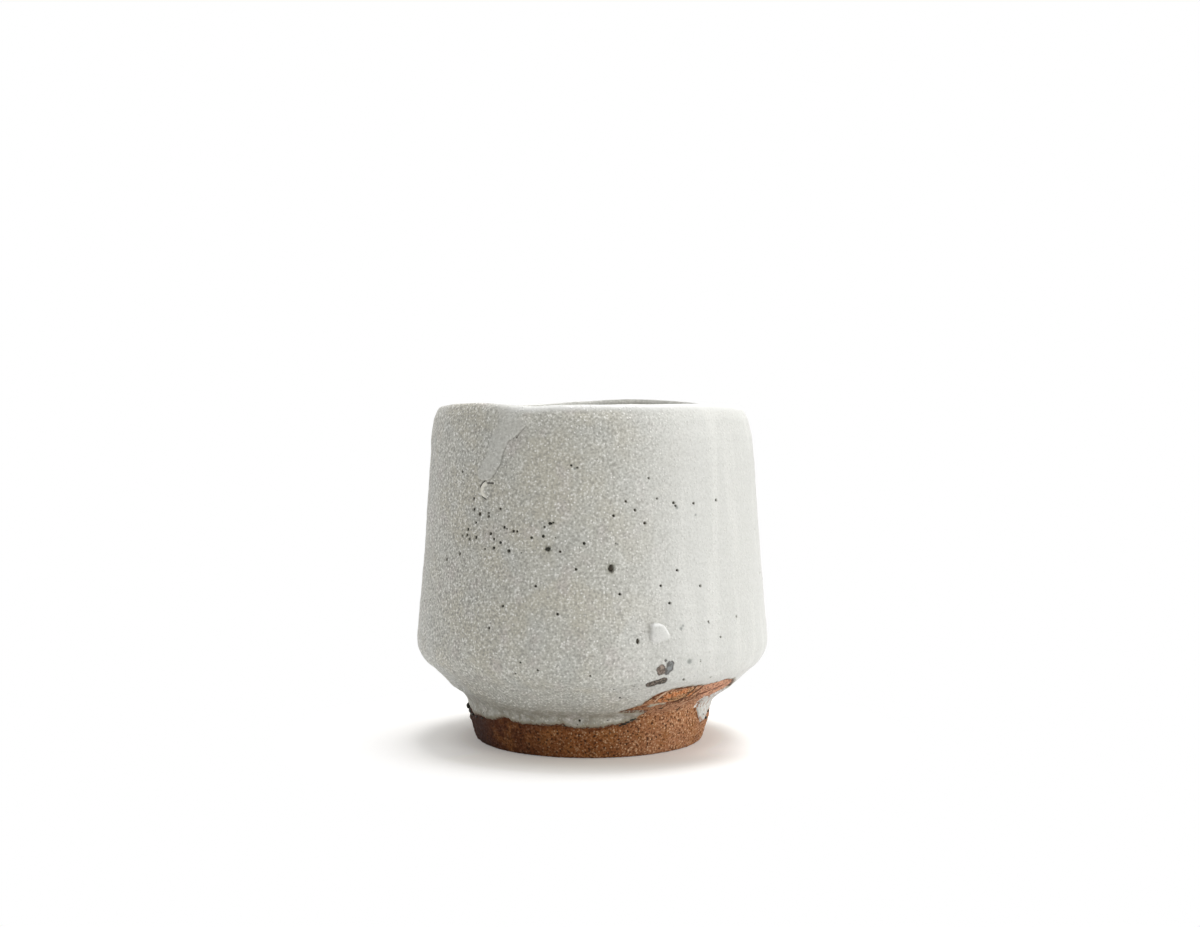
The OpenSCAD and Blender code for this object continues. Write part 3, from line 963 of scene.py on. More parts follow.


# What shows in the bare patch. The dark red-brown strokes along its upper edge and round the flash are
# painted shadow, and the wash is the thin glaze by the drip at its right
PATCH_MARKS = (
    PatchMark("flash", ((0.3, 1.3, 2.0),), 0.12, strokes(
        (29, 15.3, 38.5, 15.9, 1.15), (27, 14.1, 34, 13.9, 0.75), (36, 14.6, 40, 14.7, 1.0))),
    PatchMark("pale", ((0.1, 0.9, 3.0),), 0.08, strokes(
        (24.6, 13.9, 26.8, 16.1, 0.17), (26.8, 16.1, 28.2, 16.8, 0.14), (40.8, 11.4, 45.5, 12.8, 0.13),
        (37.6, 16.7, 37.9, 17.2, 0.2))),
    PatchMark("dark", ((0.14, 0.8, 4.0),), -0.06, strokes(
        (35.5, 13.4, 38.4, 14.6, 0.26), (39.7, 16.6, 39.4, 15.7, 0.46), (38.4, 14.9, 39.4, 15.5, 0.36),
        (30.4, 11.3, 30.6, 11.3, 0.4), (44.1, 9.9, 44.3, 10.0, 0.34), (33.5, 12.8, 40.5, 13.8, 0.14),
        (28.5, 14.3, 32.5, 14.0, 0.16), (40.6, 14.2, 41.6, 15.4, 0.22), (17, 12.7, 20.5, 13.8, 0.12),
        (30, 16.9, 38, 17.1, 0.1), (37.6, 15.3, 38.6, 15.7, 0.3), (26.4, 14.6, 26.8, 14.8, 0.22),
        (27.7, 13.7, 28.4, 13.8, 0.2), (62, 14.6, 66, 15.0, 0.22), (54, 13.1, 58, 13.9, 0.2),
        (21.6, 14.2, 22.6, 14.8, 0.2), (19, 13.0, 20.2, 13.5, 0.16), (27.5, 12.0, 33, 12.1, 0.1))),
    # Painted shadow under the patch's upper edge and round the flash
    PatchMark("rust_and_shadow", ((0.4, 1.1, 6.0),), 0.0, strokes(
        (13.5, 12.0, 21.5, 14.6, 0.3), (21.5, 14.6, 28, 16.7, 0.28), (28, 16.8, 40, 17.1, 0.3),
        (40, 17.1, 56, 16.6, 0.26), (30.5, 13.2, 34, 13.2, 0.26), (34, 13.1, 41, 14.3, 0.3),
        (41, 14.0, 43.5, 16.2, 0.42), (42, 13.6, 60, 14.4, 0.24), (20, 12.6, 27, 13.0, 0.22))),
    PatchMark("wash", ((0.5, 1.4, 7.0),), 0.0, strokes(
        (56.5, 11.6, 59.5, 7.6, 0.8), (52, 12.4, 58, 11.4, 0.4), (61, 6.6, 62.5, 5.6, 0.4))),
    PatchMark("islet", ((0.3, 0.9, 5.0),), 0.22, strokes(
        (23.2, 13.0, 29.5, 13.1, 0.3), (22.4, 12.6, 25.4, 12.7, 0.26))),
)


@dataclass(frozen=True)
class ClayBody:
    """The thrown wall and floor of clay, bare where the coat missed it and under the cup."""

    steps: int = 400
    foot_height: float = 9.0
    recess_r: float = 22.6
    recess_z: float = 6.0
    recess_rows: int = 52
    recess_past: float = 0.4
    neck_in: float = 2.0
    neck_cut: float = 0.2
    neck_cut_from: float = 0.7
    patch_top: float = 18.6
    patch_row: float = 0.4
    wall_row: float = 4.0
    inner_row: float = 5.0
    inner_gap: float = 0.02
    # Bearing of the patch's middle and of its ends from there, and its lowest height
    patch_at: tuple[float, float] = (41.0, 34.0)
    patch_low: float = 9.2
    refined: float = 0.5
    spiral: float = 0.09
    spiral_pitch: float = 2.6
    spiral_from: Span = (0.6, 2.0)
    nub: float = 0.5
    nub_r: float = 1.6

    def build(self) -> bpy.types.Object:
        """Spins the whole section of clay and roughens what shows of it.

        Returns:
            The clay body.
        """
        body = Thrown(SKIN, self.steps)
        under = body.mesh.verts.layers.float.new("base")
        self._spin(body, under)
        body.refine(self._off_patch, self.refined, least_lift=-FAR)
        bearing, along, lift = body.places()
        base = np.array([vert[under] for vert in body.mesh.verts]) > 0.5
        at = Places(bearing, along, true_points(SKIN, bearing, along), HEM.inside(bearing, along))
        shows = ~base & (along > outer_along(self.patch_top) - 0.5)
        neck = outer_along(self.foot_height)
        layers = {mark.name: mark.share(at) for mark in PATCH_MARKS}
        change = GRIT.height(at.points) - self.neck_cut * eased(along, neck - self.neck_cut_from, neck)
        change += sum(mark.swell * layers[mark.name] for mark in PATCH_MARKS)
        layers["near_glaze"] = fading(np.abs(at.inside), 0.1, 1.0)
        r, z = SKIN.at(along, lift + np.where(shows, change, 0.0))
        spun = np.array([vert.co for vert in body.mesh.verts])
        radii = np.hypot(spun[:, 0], spun[:, 1])
        r = np.where(base, radii, r)
        z = np.where(base, self._carved(bearing, radii, spun[:, 2]), z)
        for vert, point in zip(body.mesh.verts, FORM.place(bearing, r, z)):
            vert.co = point
        piece = made_object("clay_body", body.mesh, ("along", "lift", "base"))
        return paint(piece, {name: np.where(shows, values, 0.0) for name, values in layers.items()})

    def _spin(self, body: Thrown, under: bmesh.types.BMLayerItem) -> None:
        """Spins the underside and the rows of the glazed line's clay in one line.

        Args:
            body: the mesh to spin.
            under: the layer that marks the underside.
        """
        deep = -FORM.glaze
        neck, patch_top = outer_along(self.foot_height), outer_along(self.patch_top)
        rows = SKIN.rows(neck, patch_top, self.patch_row, deep)
        rows += SKIN.rows(patch_top - 2.0, OUTER_FROM, self.wall_row, deep)
        rows += SKIN.rows(OUTER_FROM - 2.0, 0.0, self.inner_row, deep - self.inner_gap)
        neck_r, _ = SKIN.at(np.array(neck), deep)
        edge_r = self.recess_r + self.recess_past
        ceiling = Outline((Corner(0.0, self.recess_z), Corner(edge_r, self.recess_z)))
        flat = list(zip(*ceiling.at(np.linspace(0, ceiling.length, self.recess_rows), 0.0)))
        flat += [(edge_r, self.foot_height), (float(neck_r) - self.neck_in, self.foot_height)]
        verts = []
        for r, z in flat:
            vert = body.mesh.verts.new((0.0, -float(r), float(z)))
            vert[under] = 1.0
            verts.append(vert)
        for along, lift in rows:
            r, z = SKIN.at(np.array(along), lift)
            vert = body.mesh.verts.new((0.0, -float(r), float(z)))
            vert[body.along], vert[body.lift] = along, lift
            verts.append(vert)
        body.whirl(verts, [body.mesh.edges.new(pair) for pair in zip(verts, verts[1:])])

    def _off_patch(self, bearing: np.ndarray, along: np.ndarray) -> np.ndarray:
        """Nought on the bare patch, and the distance from it elsewhere."""
        middle, reach = np.radians(self.patch_at)
        near = np.abs(turn_between(bearing, middle)) < reach
        off = np.maximum(HEM.inside(bearing, along), 0.0)
        return np.where(near & (along < outer_along(self.patch_low)), off, FAR)

    def _carved(self, bearing: np.ndarray, radii: np.ndarray, heights: np.ndarray) -> np.ndarray:
        """Heights of the underside, with its turned spiral, its nub and its grit."""
        turning = self.spiral * np.sin(radii * self.spiral_pitch - bearing) * eased(radii, *self.spiral_from)
        nub = self.nub * np.exp(-(radii / self.nub_r) ** 2)
        grit = GRIT.height(round_axis(bearing, radii, heights))
        return heights + np.where(radii < self.recess_r + 0.2, turning - nub + grit, 0.0)


@dataclass(frozen=True)
class FootRing:
    """The bare ring of gritty clay that the cup stands on."""

    steps: int = 720
    row: float = 0.27
    rest: float = 0.012
    outer_r: float = 26.0
    corners: tuple[Corner, ...] = (Corner(29.6, 9.75), Corner(29.6, 6.0, 6.0), Corner(27.9, 0.0, 1.4),
                                   Corner(23.4, 0.0, 1.0), Corner(22.6, 6.3))
    # Bearing, height, width and depth of the chips and dents in its outside
    chips: tuple[tuple[float, float, float, float], ...] = (
        (-77, 3.2, 1.5, 0.28), (-84, 6.0, 1.1, 0.22), (-58, 2.0, 1.2, 0.15), (70, 4.6, 1.1, 0.2),
        (82, 2.4, 1.6, 0.25), (36, 3.0, 1.0, 0.12), (130, 3.4, 1.4, 0.2), (-140, 2.2, 1.5, 0.22))
    chip_r: float = 29.0
    chip_wander: Layers = ((0.6, 0.9, 7.0),)
    # The burnt side, in radians: its middle, and how far the crust and the scorch reach from there
    burnt_at: float = -1.5
    crust_reach: Span = (0.3, 0.65)
    scorch_reach: Span = (0.4, 0.85)
    crust_from: Span = (0.95, 1.35)
    scorch_from: Span = (0.72, 1.12)
    bumps: Layers = ((0.28, 1.6, 19.0),)
    blobs: tuple[float, float, float, float] = (0.4, 0.1, 2.2, 71.0)
    hem_wander: Layers = ((0.25, 1.6, 3.0),)

    def build(self) -> bpy.types.Object:
        """Spins the ring, roughens it and keeps its resting face flat.

        Returns:
            The foot ring.
        """
        line = Outline(self.corners)
        ring = Thrown(line, self.steps)
        rows = line.rows(0.0, line.length, self.row)
        rows += [(line.length, -0.5), (line.length * 0.94, -1.2), (2.0, -3.0), (0.4, -2.0), (0.0, -0.7)]
        ring.spin(rows, closed=True)
        bearing, along, lift = ring.places()
        points = true_points(line, bearing, along)
        height = points[:, 2]
        outer = np.where(points[:, 0] ** 2 + points[:, 1] ** 2 > self.outer_r ** 2, 1.0, 0.0)
        grit = GRIT.height(points)
        grit = np.where(np.abs(height) < 0.02, np.minimum(grit, 0.0) - 0.02, grit)
        rough = 1.0 + lumpy(points, self.chip_wander)
        for b, z, wide, deep in self.chips:
            away = np.hypot(turn_between(bearing, math.radians(b)) * self.chip_r, height - z) / wide
            grit -= outer * deep * np.exp(-away ** 2) * rough
        from_burnt = np.abs(bearing - self.burnt_at)
        crust = eased(-bearing, *self.crust_from) * fading(from_burnt, *self.crust_reach)
        scorch = eased(-bearing, *self.scorch_from) * fading(from_burnt, *self.scorch_reach)
        tall, least, width, seed = self.blobs
        bumps = lumpy(points, self.bumps) + tall * np.maximum(lumps(points, width, seed) - least, 0.0)
        grit += outer * crust * bumps
        below = np.abs(HEM.inside(bearing, outer_alongs(height))) + lumpy(points, self.hem_wander)
        piece = ring.settle("foot_ring_clay", bearing, along, np.where(lift > SHOWN, grit, lift), self.rest)
        return paint(piece, {"near_glaze": outer * fading(below, 0.2, 1.3), "burn": outer * scorch})


@dataclass(frozen=True)
class GlazeTongue:
    """A second layer of glaze that lies on the coat, given by its edges from the top down."""

    name: str
    # Height, left bearing and right bearing of its edges
    edges: tuple[tuple[float, float, float], ...]
    thick: float
    end_round: float
    top_round: float
    fade: float
    left_power: float
    right_power: float
    sink: float = 0.0
    soft_corner: float = 0.0
    # How strongly a highlight is painted along the crest of its top and right shoulder
    painted_highlight: float = 0.0
    columns: int = 30
    rows: int = 90

    # Share of its half width past which the grid hides under the coat, and how deep it may go
    past: float = 1.12
    deepest: float = -0.3
    backing: float = 0.3
    side_wander: Layers = ((0.05, 2.0, 17.0),)
    face: Layers = ((0.02, 3.0, 6.0),)
    # How far its rim and its ends sink into the coat
    rim_sink: float = 0.03
    end_sink: float = 0.16

    def build(self) -> bpy.types.Object:
        """Maps a grid onto the coat and swells it between its edges.

        Returns:
            The layer.
        """
        shape = bmesh.new()
        bmesh.ops.create_grid(shape, x_segments=self.columns, y_segments=self.rows, size=1.0)
        flat = np.array([(vert.co.x, vert.co.y) for vert in shape.verts])
        across, down = flat[:, 0] * self.past, (1.0 - flat[:, 1]) / 2.0
        heights, lefts, rights = zip(*self.edges)
        knots = np.array([self._along(height) for height in heights])
        starts, ends = knots[0], knots[-1]
        along = starts + down * (ends - starts)
        left, right = (np.radians(np.interp(along, knots, side)) for side in (lefts, rights))
        bottom = self._closing(ends - along, self.end_round)
        top = self._closing(along - starts, self.top_round)
        bearing = (left + right) / 2.0 + across * (right - left) / 2.0 * bottom * top
        points = true_points(SKIN, bearing, along)
        reach = np.abs(across) * (1.0 + lumpy(points, self.side_wander))
        soft = self.soft_corner * fading(down, 0.16, 0.34)
        power = np.where(across < 0.0, self.left_power, self.right_power * (1.0 - soft) + 1.3 * soft)
        swell = self.thick * (1.0 - np.clip(reach, 0.0, 1.5) ** power)
        swell *= 1.0 - self.fade * eased(down, 0.05, 0.9)
        swell -= self.sink * eased(down + 0.14 * across, 0.3, 1.1)
        ends_in = np.minimum(bottom, top)
        swell = np.where(swell > 0.0, swell * np.clip(ends_in * 1.4, 0.0, 1.0), swell)
        swell += lumpy(points, self.face) - self.rim_sink
        swell -= self.end_sink * (1.0 - np.clip(ends_in * 2.2, 0.0, 1.0))
        radius, height = SKIN.at(along, np.maximum(swell, self.deepest))
        for vert, point in zip(shape.verts, FORM.place(bearing, radius, height)):
            vert.co = point
        bmesh.ops.recalc_face_normals(shape, faces=shape.faces)
        outward = next(iter(shape.faces))
        if outward.normal.dot(outward.calc_center_median() * Vector((1, 1, 0))) < 0.0:
            bmesh.ops.reverse_faces(shape, faces=shape.faces)
        piece = made_object(self.name, shape)
        backing = piece.modifiers.new("backing", "SOLIDIFY")
        backing.thickness = self.backing * MM
        backing.offset = -1.0
        edge = eased(reach, 0.86, 0.93) * fading(reach, 0.99, 1.06) * (across > 0.0)
        inner = fading(reach, 0.72, 1.0) * (1.0 - soft * eased(across, -0.1, 0.7))
        # The crest along the top edge and down the right shoulder, where the highlight is painted
        crest = np.maximum(fading(np.abs(along - starts - 0.55), 0.0, 0.6),
                           fading(np.abs(across - 0.82), 0.0, 0.2) * fading(down, 0.3, 0.55))
        return paint(piece, {
            "crack": edge * eased(down, 0.28, 0.36),
            "lip": lip_highlight_share(along),
            "calm": inner * eased(swell, -0.02, 0.26),
            "painted_highlight": self.painted_highlight * crest * eased(swell, 0.0, 0.3),
        })

    @staticmethod
    def _along(height: float) -> float:
        """Distance along the glazed line of a height, with the lip's top as the crest."""
        return OUTER_FROM if height >= FORM.lip_height else outer_along(height)

    @staticmethod
    def _closing(left_over: np.ndarray, rounding: float) -> np.ndarray:
        """Share of the full width where an end closes in a round."""
        if rounding <= 0.0:
            return np.ones(len(left_over))
        share = np.clip(left_over / rounding, 0.0, 1.0)
        return np.sqrt(np.maximum(1.0 - (1.0 - share) ** 2, 1e-4))


RUN = GlazeTongue(
    name="glaze_run_tongue",
    edges=((82.9, -37, -19.4), (81.2, -35.6, -19.4), (79.2, -34.4, -20), (78.2, -34.2, -21.7),
           (76.5, -35.6, -24.7), (74.9, -36.2, -28.1), (72.0, -37.6, -30.2), (69.1, -40.2, -31.4),
           (67.9, -41.5, -32.6), (66.5, -42.0, -33.9), (65.9, -41.8, -34.3), (65.2, -41.2, -34.9)),
    thick=0.4, end_round=1.1, top_round=0.0, fade=0.05, left_power=2.0, right_power=6.0,
    soft_corner=1.0)

DROP = GlazeTongue(
    name="glaze_drop_bead",
    edges=((33.7, 18.1, 21.0), (33.1, 17.7, 22.3), (32.4, 17.6, 23.2), (31.6, 17.5, 24.0),
           (30.8, 17.5, 24.9), (30.0, 17.5, 26.0), (29.0, 17.5, 27.2), (27.8, 17.6, 28.2),
           (26.6, 17.7, 28.6)),
    thick=1.05, end_round=0.0, top_round=0.9, fade=0.8, left_power=6.0, right_power=3.0,
    sink=0.9, painted_highlight=0.8, columns=36, rows=70)


def add_lump(shape: bmesh.types.BMesh, bearing: float, height: float, lift: float,
             radii: tuple[float, float, float], detail: int, bumps: Sequence[tuple[float, float]]) -> None:
    """Seats a lumpy ball on the outside of the cup.

    Args:
        shape: the mesh that it joins.
        bearing: its bearing in degrees.
        height: its height.
        lift: how far over the coat's true face its middle lies.
        radii: its radii round the cup, up the wall and outwards.
        detail: how finely it is divided.
        bumps: the widths of its bumps, and their heights as shares of its radius.
    """
    seat = FORM.seat(SKIN, math.radians(bearing), outer_along(height), lift)
    size = Matrix.Diagonal((*(radius * MM for radius in radii), 1.0))
    ball = bmesh.ops.create_icosphere(shape, subdivisions=detail, radius=1.0, matrix=seat @ size)
    middle = seat.to_translation()
    for vert in ball["verts"]:
        grow = sum(noise.noise(vert.co / (width * MM)) * share for width, share in bumps)
        vert.co = middle + (vert.co - middle) * (1.0 + grow)


@dataclass(frozen=True)
class Grain:
    """How a grain of iron fills its pit: its lift, share of the pit's width, thickness and bumps."""

    lift: float
    share: float
    thick: float
    detail: int
    bump: float


@dataclass(frozen=True)
class IronGrains:
    """The grains of iron that melted in the floors of the pits."""

    small: Grain = Grain(lift=-0.3, share=1.0, thick=0.2, detail=2, bump=0.22)
    large: Grain = Grain(lift=-0.2, share=0.8, thick=0.26, detail=3, bump=0.55)
    bump_width: float = 0.45
    spread: Span = (0.92, 1.12)
    seed: int = 5

    def build(self) -> bpy.types.Object:
        """Seats a flattened, lumpy grain in each pit.

        Returns:
            All the grains as one piece.
        """
        shape = bmesh.new()
        draw = random.Random(self.seed)
        for pit in all_pits():
            grain = self.large if pit.large else self.small
            spread = draw.uniform(*self.spread)
            radii = (pit.radius * spread * grain.share, pit.length / spread * grain.share, grain.thick)
            add_lump(shape, pit.bearing, pit.height, grain.lift, radii, grain.detail,
                     ((self.bump_width, grain.bump),))
        return made_object("iron_grains", shape)


@dataclass(frozen=True)
class HemBeads:
    """Beads and crusts of dark glaze under the hem."""

    # Bearing, height, lift, radius, and its stretches round and up the foot
    beads: tuple[tuple[float, float, float, float, float, float], ...] = (
        (-86, 8.0, -0.35, 0.8, 0.8, 1.15), (-84, 7.0, -0.55, 0.5, 1.0, 1.2),
        (-79, 7.1, -0.5, 0.45, 1.2, 0.7), (-73.5, 6.8, -0.5, 0.4, 1.5, 0.6),
        (-67, 6.8, -0.48, 0.34, 1.6, 0.6), (-104, 7.4, -0.45, 0.5, 1.3, 0.8),
        (71, 6.3, -0.35, 0.34, 0.8, 1.2), (66, 7.6, -0.3, 0.22, 0.9, 1.0), (74, 7.7, -0.25, 0.3, 0.9, 1.3),
        (136, 6.8, -0.25, 0.6, 1.2, 0.8), (-156, 7.0, -0.25, 0.55, 1.3, 0.8),
        (19.3, 9.3, -0.36, 0.44, 1.5, 0.7), (15.7, 8.35, -0.4, 0.38, 1.7, 0.6),
        (17.5, 8.8, -0.4, 0.36, 1.5, 0.7), (20.6, 9.5, -0.4, 0.3, 1.2, 0.9),
        (13.9, 8.0, -0.45, 0.26, 1.5, 0.6), (31, 11.3, -0.75, 0.34, 1.2, 0.8),
        (-11, 8.0, -0.45, 0.28, 1.2, 0.7), (-60, 7.1, -0.45, 0.3, 1.6, 0.6),
    )
    outward: float = 0.8
    detail: int = 4
    bumps: tuple[tuple[float, float], ...] = ((0.9, 0.3), (0.3, 0.1))

    def build(self) -> bpy.types.Object:
        """Seats a lumpy bead at each place.

        Returns:
            All the beads as one piece.
        """
        shape = bmesh.new()
        for bearing, height, lift, radius, wide, tall in self.beads:
            radii = (radius * wide, radius * tall, radius * self.outward)
            add_lump(shape, bearing, height, lift, radii, self.detail, self.bumps)
        return made_object("hem_beads_dark", shape)


class Nodes:
    """A node tree, with short calls for the kinds of node that the finishes use."""

    def __init__(self, tree: bpy.types.NodeTree) -> None:
        """Empties a tree, to fill it anew."""
        self.tree = tree
        self.tree.nodes.clear()

    def node(self, kind: str, inputs: dict[str | int, object] | None = None,
             **settings: str) -> bpy.types.Node:
        """A new node.

        Args:
            kind: its type, without the start that all shader nodes share.
            inputs: an output or a value for each socket named.
            settings: its own settings, which are made before its sockets are filled.

        Returns:
            The node.
        """
        node = self.tree.nodes.new("ShaderNode" + kind)
        for name, value in settings.items():
            setattr(node, name, value)
        for socket, value in (inputs or {}).items():
            self.put(node.inputs[socket], value)
        return node

    def put(self, socket: bpy.types.NodeSocket, value: object) -> None:
        """Links an output to a socket, or sets its value."""
        if isinstance(value, bpy.types.NodeSocket):
            self.tree.links.new(value, socket)
        elif isinstance(value, tuple) and len(value) == 3 and socket.type == "RGBA":
            socket.default_value = (*value, 1.0)
        else:
            socket.default_value = value

    def span(self, value: bpy.types.NodeSocket, low: float, high: float,
             start: float = 0.0, end: float = 1.0) -> bpy.types.NodeSocket:
        """A smooth step of a value, from start at low to end at high."""
        return self.node("MapRange", {"Value": value, "From Min": low, "From Max": high,
                                      "To Min": start, "To Max": end},
                         interpolation_type="SMOOTHSTEP").outputs[0]

    def maths(self, kind: str, first: object, second: object) -> bpy.types.NodeSocket:
        """Two values put together in a way such as ADD or MAXIMUM."""
        return self.node("Math", {0: first, 1: second}, operation=kind).outputs[0]

    def both(self, first: object, second: object) -> bpy.types.NodeSocket:
        """The product of two values, so that it shows only where both do."""
        return self.maths("MULTIPLY", first, second)

    def blend(self, share: object, first: object, second: object) -> bpy.types.NodeSocket:
        """A blend of two colours.

        Args:
            share: how much of the second shows.
            first: a colour or an output.
            second: a colour or an output.

        Returns:
            The colour.
        """
        return self.node("Mix", {0: share, 6: first, 7: second}, data_type="RGBA").outputs[2]


class Shading(Nodes):
    """The nodes of one material, whose patterns lie in the object's own space."""

    def __init__(self, name: str) -> None:
        """Starts a material with one surface shader.

        Args:
            name: the material's name.
        """
        self.material = bpy.data.materials.new(name)
        self.material.use_nodes = True
        super().__init__(self.material.node_tree)
        self.surface = self.node("BsdfPrincipled")
        self.output = self.node("OutputMaterial", {"Surface": self.surface.outputs[0]})
        self.place = self.node("TexCoord").outputs["Object"]

    def grain(self, width: float, detail: float = 1.0, seed: float = 0.0,
              stretch: Colour = (1.0, 1.0, 1.0)) -> bpy.types.NodeSocket:
        """Noise in the object's own space.

        Args:
            width: width of a grain, in millimetres.
            detail: octaves of finer noise.
            seed: shift that gives another pattern, in millimetres.
            stretch: how much each axis is squeezed.

        Returns:
            A value round 0.5.
        """
        shift = self.node("Mapping", {"Vector": self.place, "Scale": stretch,
                                      "Location": (seed * MM, seed * 0.7 * MM, -seed * MM)})
        return self.node("TexNoise", {"Vector": shift.outputs[0], "Scale": 1.0 / (width * MM),
                                      "Detail": detail}).outputs[0]

    def cells(self, width: float, seed: float = 0.0) -> tuple[bpy.types.NodeSocket, bpy.types.NodeSocket]:
        """Grains scattered through the object's own space.

        Args:
            width: spacing of the grains, in millimetres.
            seed: shift that gives another pattern, in millimetres.

        Returns:
            The distance from the nearest grain's middle, in spacings, and that grain's own shade.
        """
        shift = self.node("Mapping", {"Vector": self.place,
                                      "Location": (seed * MM, -seed * MM, seed * 0.6 * MM)})
        cells = self.node("TexVoronoi", {"Vector": shift.outputs[0], "Scale": 1.0 / (width * MM)})
        shade = self.node("SeparateColor", {0: cells.outputs["Color"]})
        return cells.outputs["Distance"], shade.outputs[0]

    def painted(self, name: str) -> bpy.types.NodeSocket:
        """A value that was painted on the piece's points."""
        return self.node("Attribute", attribute_name=name).outputs["Fac"]

    def mark(self, name: str, strength: object, colour: object, tint: object) -> bpy.types.NodeSocket:
        """A colour with a tint over it where a painted value shows.

        Args:
            name: the painted value.
            strength: how much of the tint shows where that value is 1.
            colour: the colour below.
            tint: the tint.

        Returns:
            The colour.
        """
        return self.blend(self.both(self.painted(name), strength), colour, tint)

    def axis(self, name: str) -> bpy.types.NodeSocket:
        """One coordinate of the object's own space, in metres."""
        return self.node("SeparateXYZ", {0: self.place}).outputs[name]

    def finish(self, colour: object, roughness: object, height: bpy.types.NodeSocket, depth: float,
               gloss: float | None = None) -> bpy.types.Material:
        """Fills the surface shader.

        Args:
            colour: its colour.
            roughness: its roughness.
            height: height of its finest relief.
            depth: what a height of 1 stands for, in millimetres.
            gloss: its specular level, where it isn't the usual one.

        Returns:
            The material.
        """
        bump = self.node("Bump", {"Strength": 1.0, "Distance": depth * MM, "Height": height})
        for socket, value in (("Base Color", colour), ("Roughness", roughness), ("Normal", bump.outputs[0])):
            self.put(self.surface.inputs[socket], value)
        if gloss is not None:
            self.surface.inputs["Specular IOR Level"].default_value = gloss
        return self.material


@dataclass(frozen=True)
class CoatMarks:
    """What marks the white coat: its burnt edge, pits, scars, cracks and drip, and the painted highlight on
    the burst blister's wall.
    """

    edge: Colour = (0.30, 0.265, 0.18)
    burnt: Colour = (0.13, 0.06, 0.03)
    pepper: Colour = (0.07, 0.06, 0.045)
    drip: Colour = (0.66, 0.66, 0.63)
    clay: Colour = (0.36, 0.17, 0.085)
    veil: Colour = (0.2, 0.215, 0.195)
    stain: Colour = (0.17, 0.165, 0.10)
    iron: Colour = (0.04, 0.037, 0.025)
    brown_scar: tuple[Colour, Colour] = ((0.12, 0.088, 0.066), (0.32, 0.25, 0.2))
    cool_scar: tuple[Colour, Colour] = ((0.10, 0.095, 0.085), (0.235, 0.245, 0.24))
    low_scar: tuple[Colour, Colour] = ((0.04, 0.032, 0.023), (0.23, 0.185, 0.14))
    scar_edge: Colour = (0.05, 0.042, 0.033)
    # Colour of the painted highlight on the blister's raised left wall, which faces the light
    crescent: Colour = (0.90, 0.87, 0.77)
    crack: Colour = (0.05, 0.045, 0.035)

    def over(self, s: Shading, colour: bpy.types.NodeSocket,
             fine: bpy.types.NodeSocket) -> bpy.types.NodeSocket:
        """Lays the marks over the coat's colour.

        Args:
            s: the material's nodes.
            colour: the coat's own colour.
            fine: its finest grain.

        Returns:
            The colour with the marks.
        """
        away, shade = s.cells(1.7, 15.0)
        dot = s.both(s.span(away, 0.15, 0.08), s.span(shade, 0.5, 0.62))
        colour = s.blend(s.both(dot, s.span(s.axis("Z"), 0.012, 0.022, 0.9, 0.16)), colour, self.pepper)
        colour = s.mark("drip", 0.5, colour, self.drip)
        colour = s.mark("drip", s.span(s.grain(0.9, 3.0, 88.0), 0.53, 0.6, 0.0, 0.85), colour, self.clay)
        thin = s.maths("ADD", s.painted("thin"), s.both(s.maths("SUBTRACT", fine, 0.5), 0.5))
        colour = s.blend(s.span(thin, 0.55, 0.9, 0.0, 0.7), colour, self.edge)
        colour = s.blend(s.span(thin, 0.9, 1.02), colour, self.burnt)
        colour = s.mark("veiled", 0.8, colour, self.veil)
        pit = s.painted("pit")
        colour = s.blend(pit, colour, s.blend(s.span(pit, 0.35, 0.85), self.stain, self.iron))
        brown = s.blend(s.span(s.grain(0.6, 2.0, 5.0), 0.42, 0.64), *self.brown_scar)
        cool = s.blend(s.span(s.grain(1.0, 1.0, 9.0), 0.42, 0.62), *self.cool_scar)
        low = s.blend(s.span(s.grain(0.5, 2.0, 25.0), 0.42, 0.64), *self.low_scar)
        scar = s.blend(s.painted("scar_low"), s.blend(s.painted("scar_cool"), brown, cool), low)
        scar = s.mark("scar_edge", 0.75, scar, self.scar_edge)
        colour = s.blend(s.painted("scar"), colour, scar)
        # The blister's left wall: raised in the coat, and with a painted highlight
        colour = s.mark("crescent", 0.9, colour, self.crescent)
        return s.blend(s.painted("crack"), colour, self.crack)


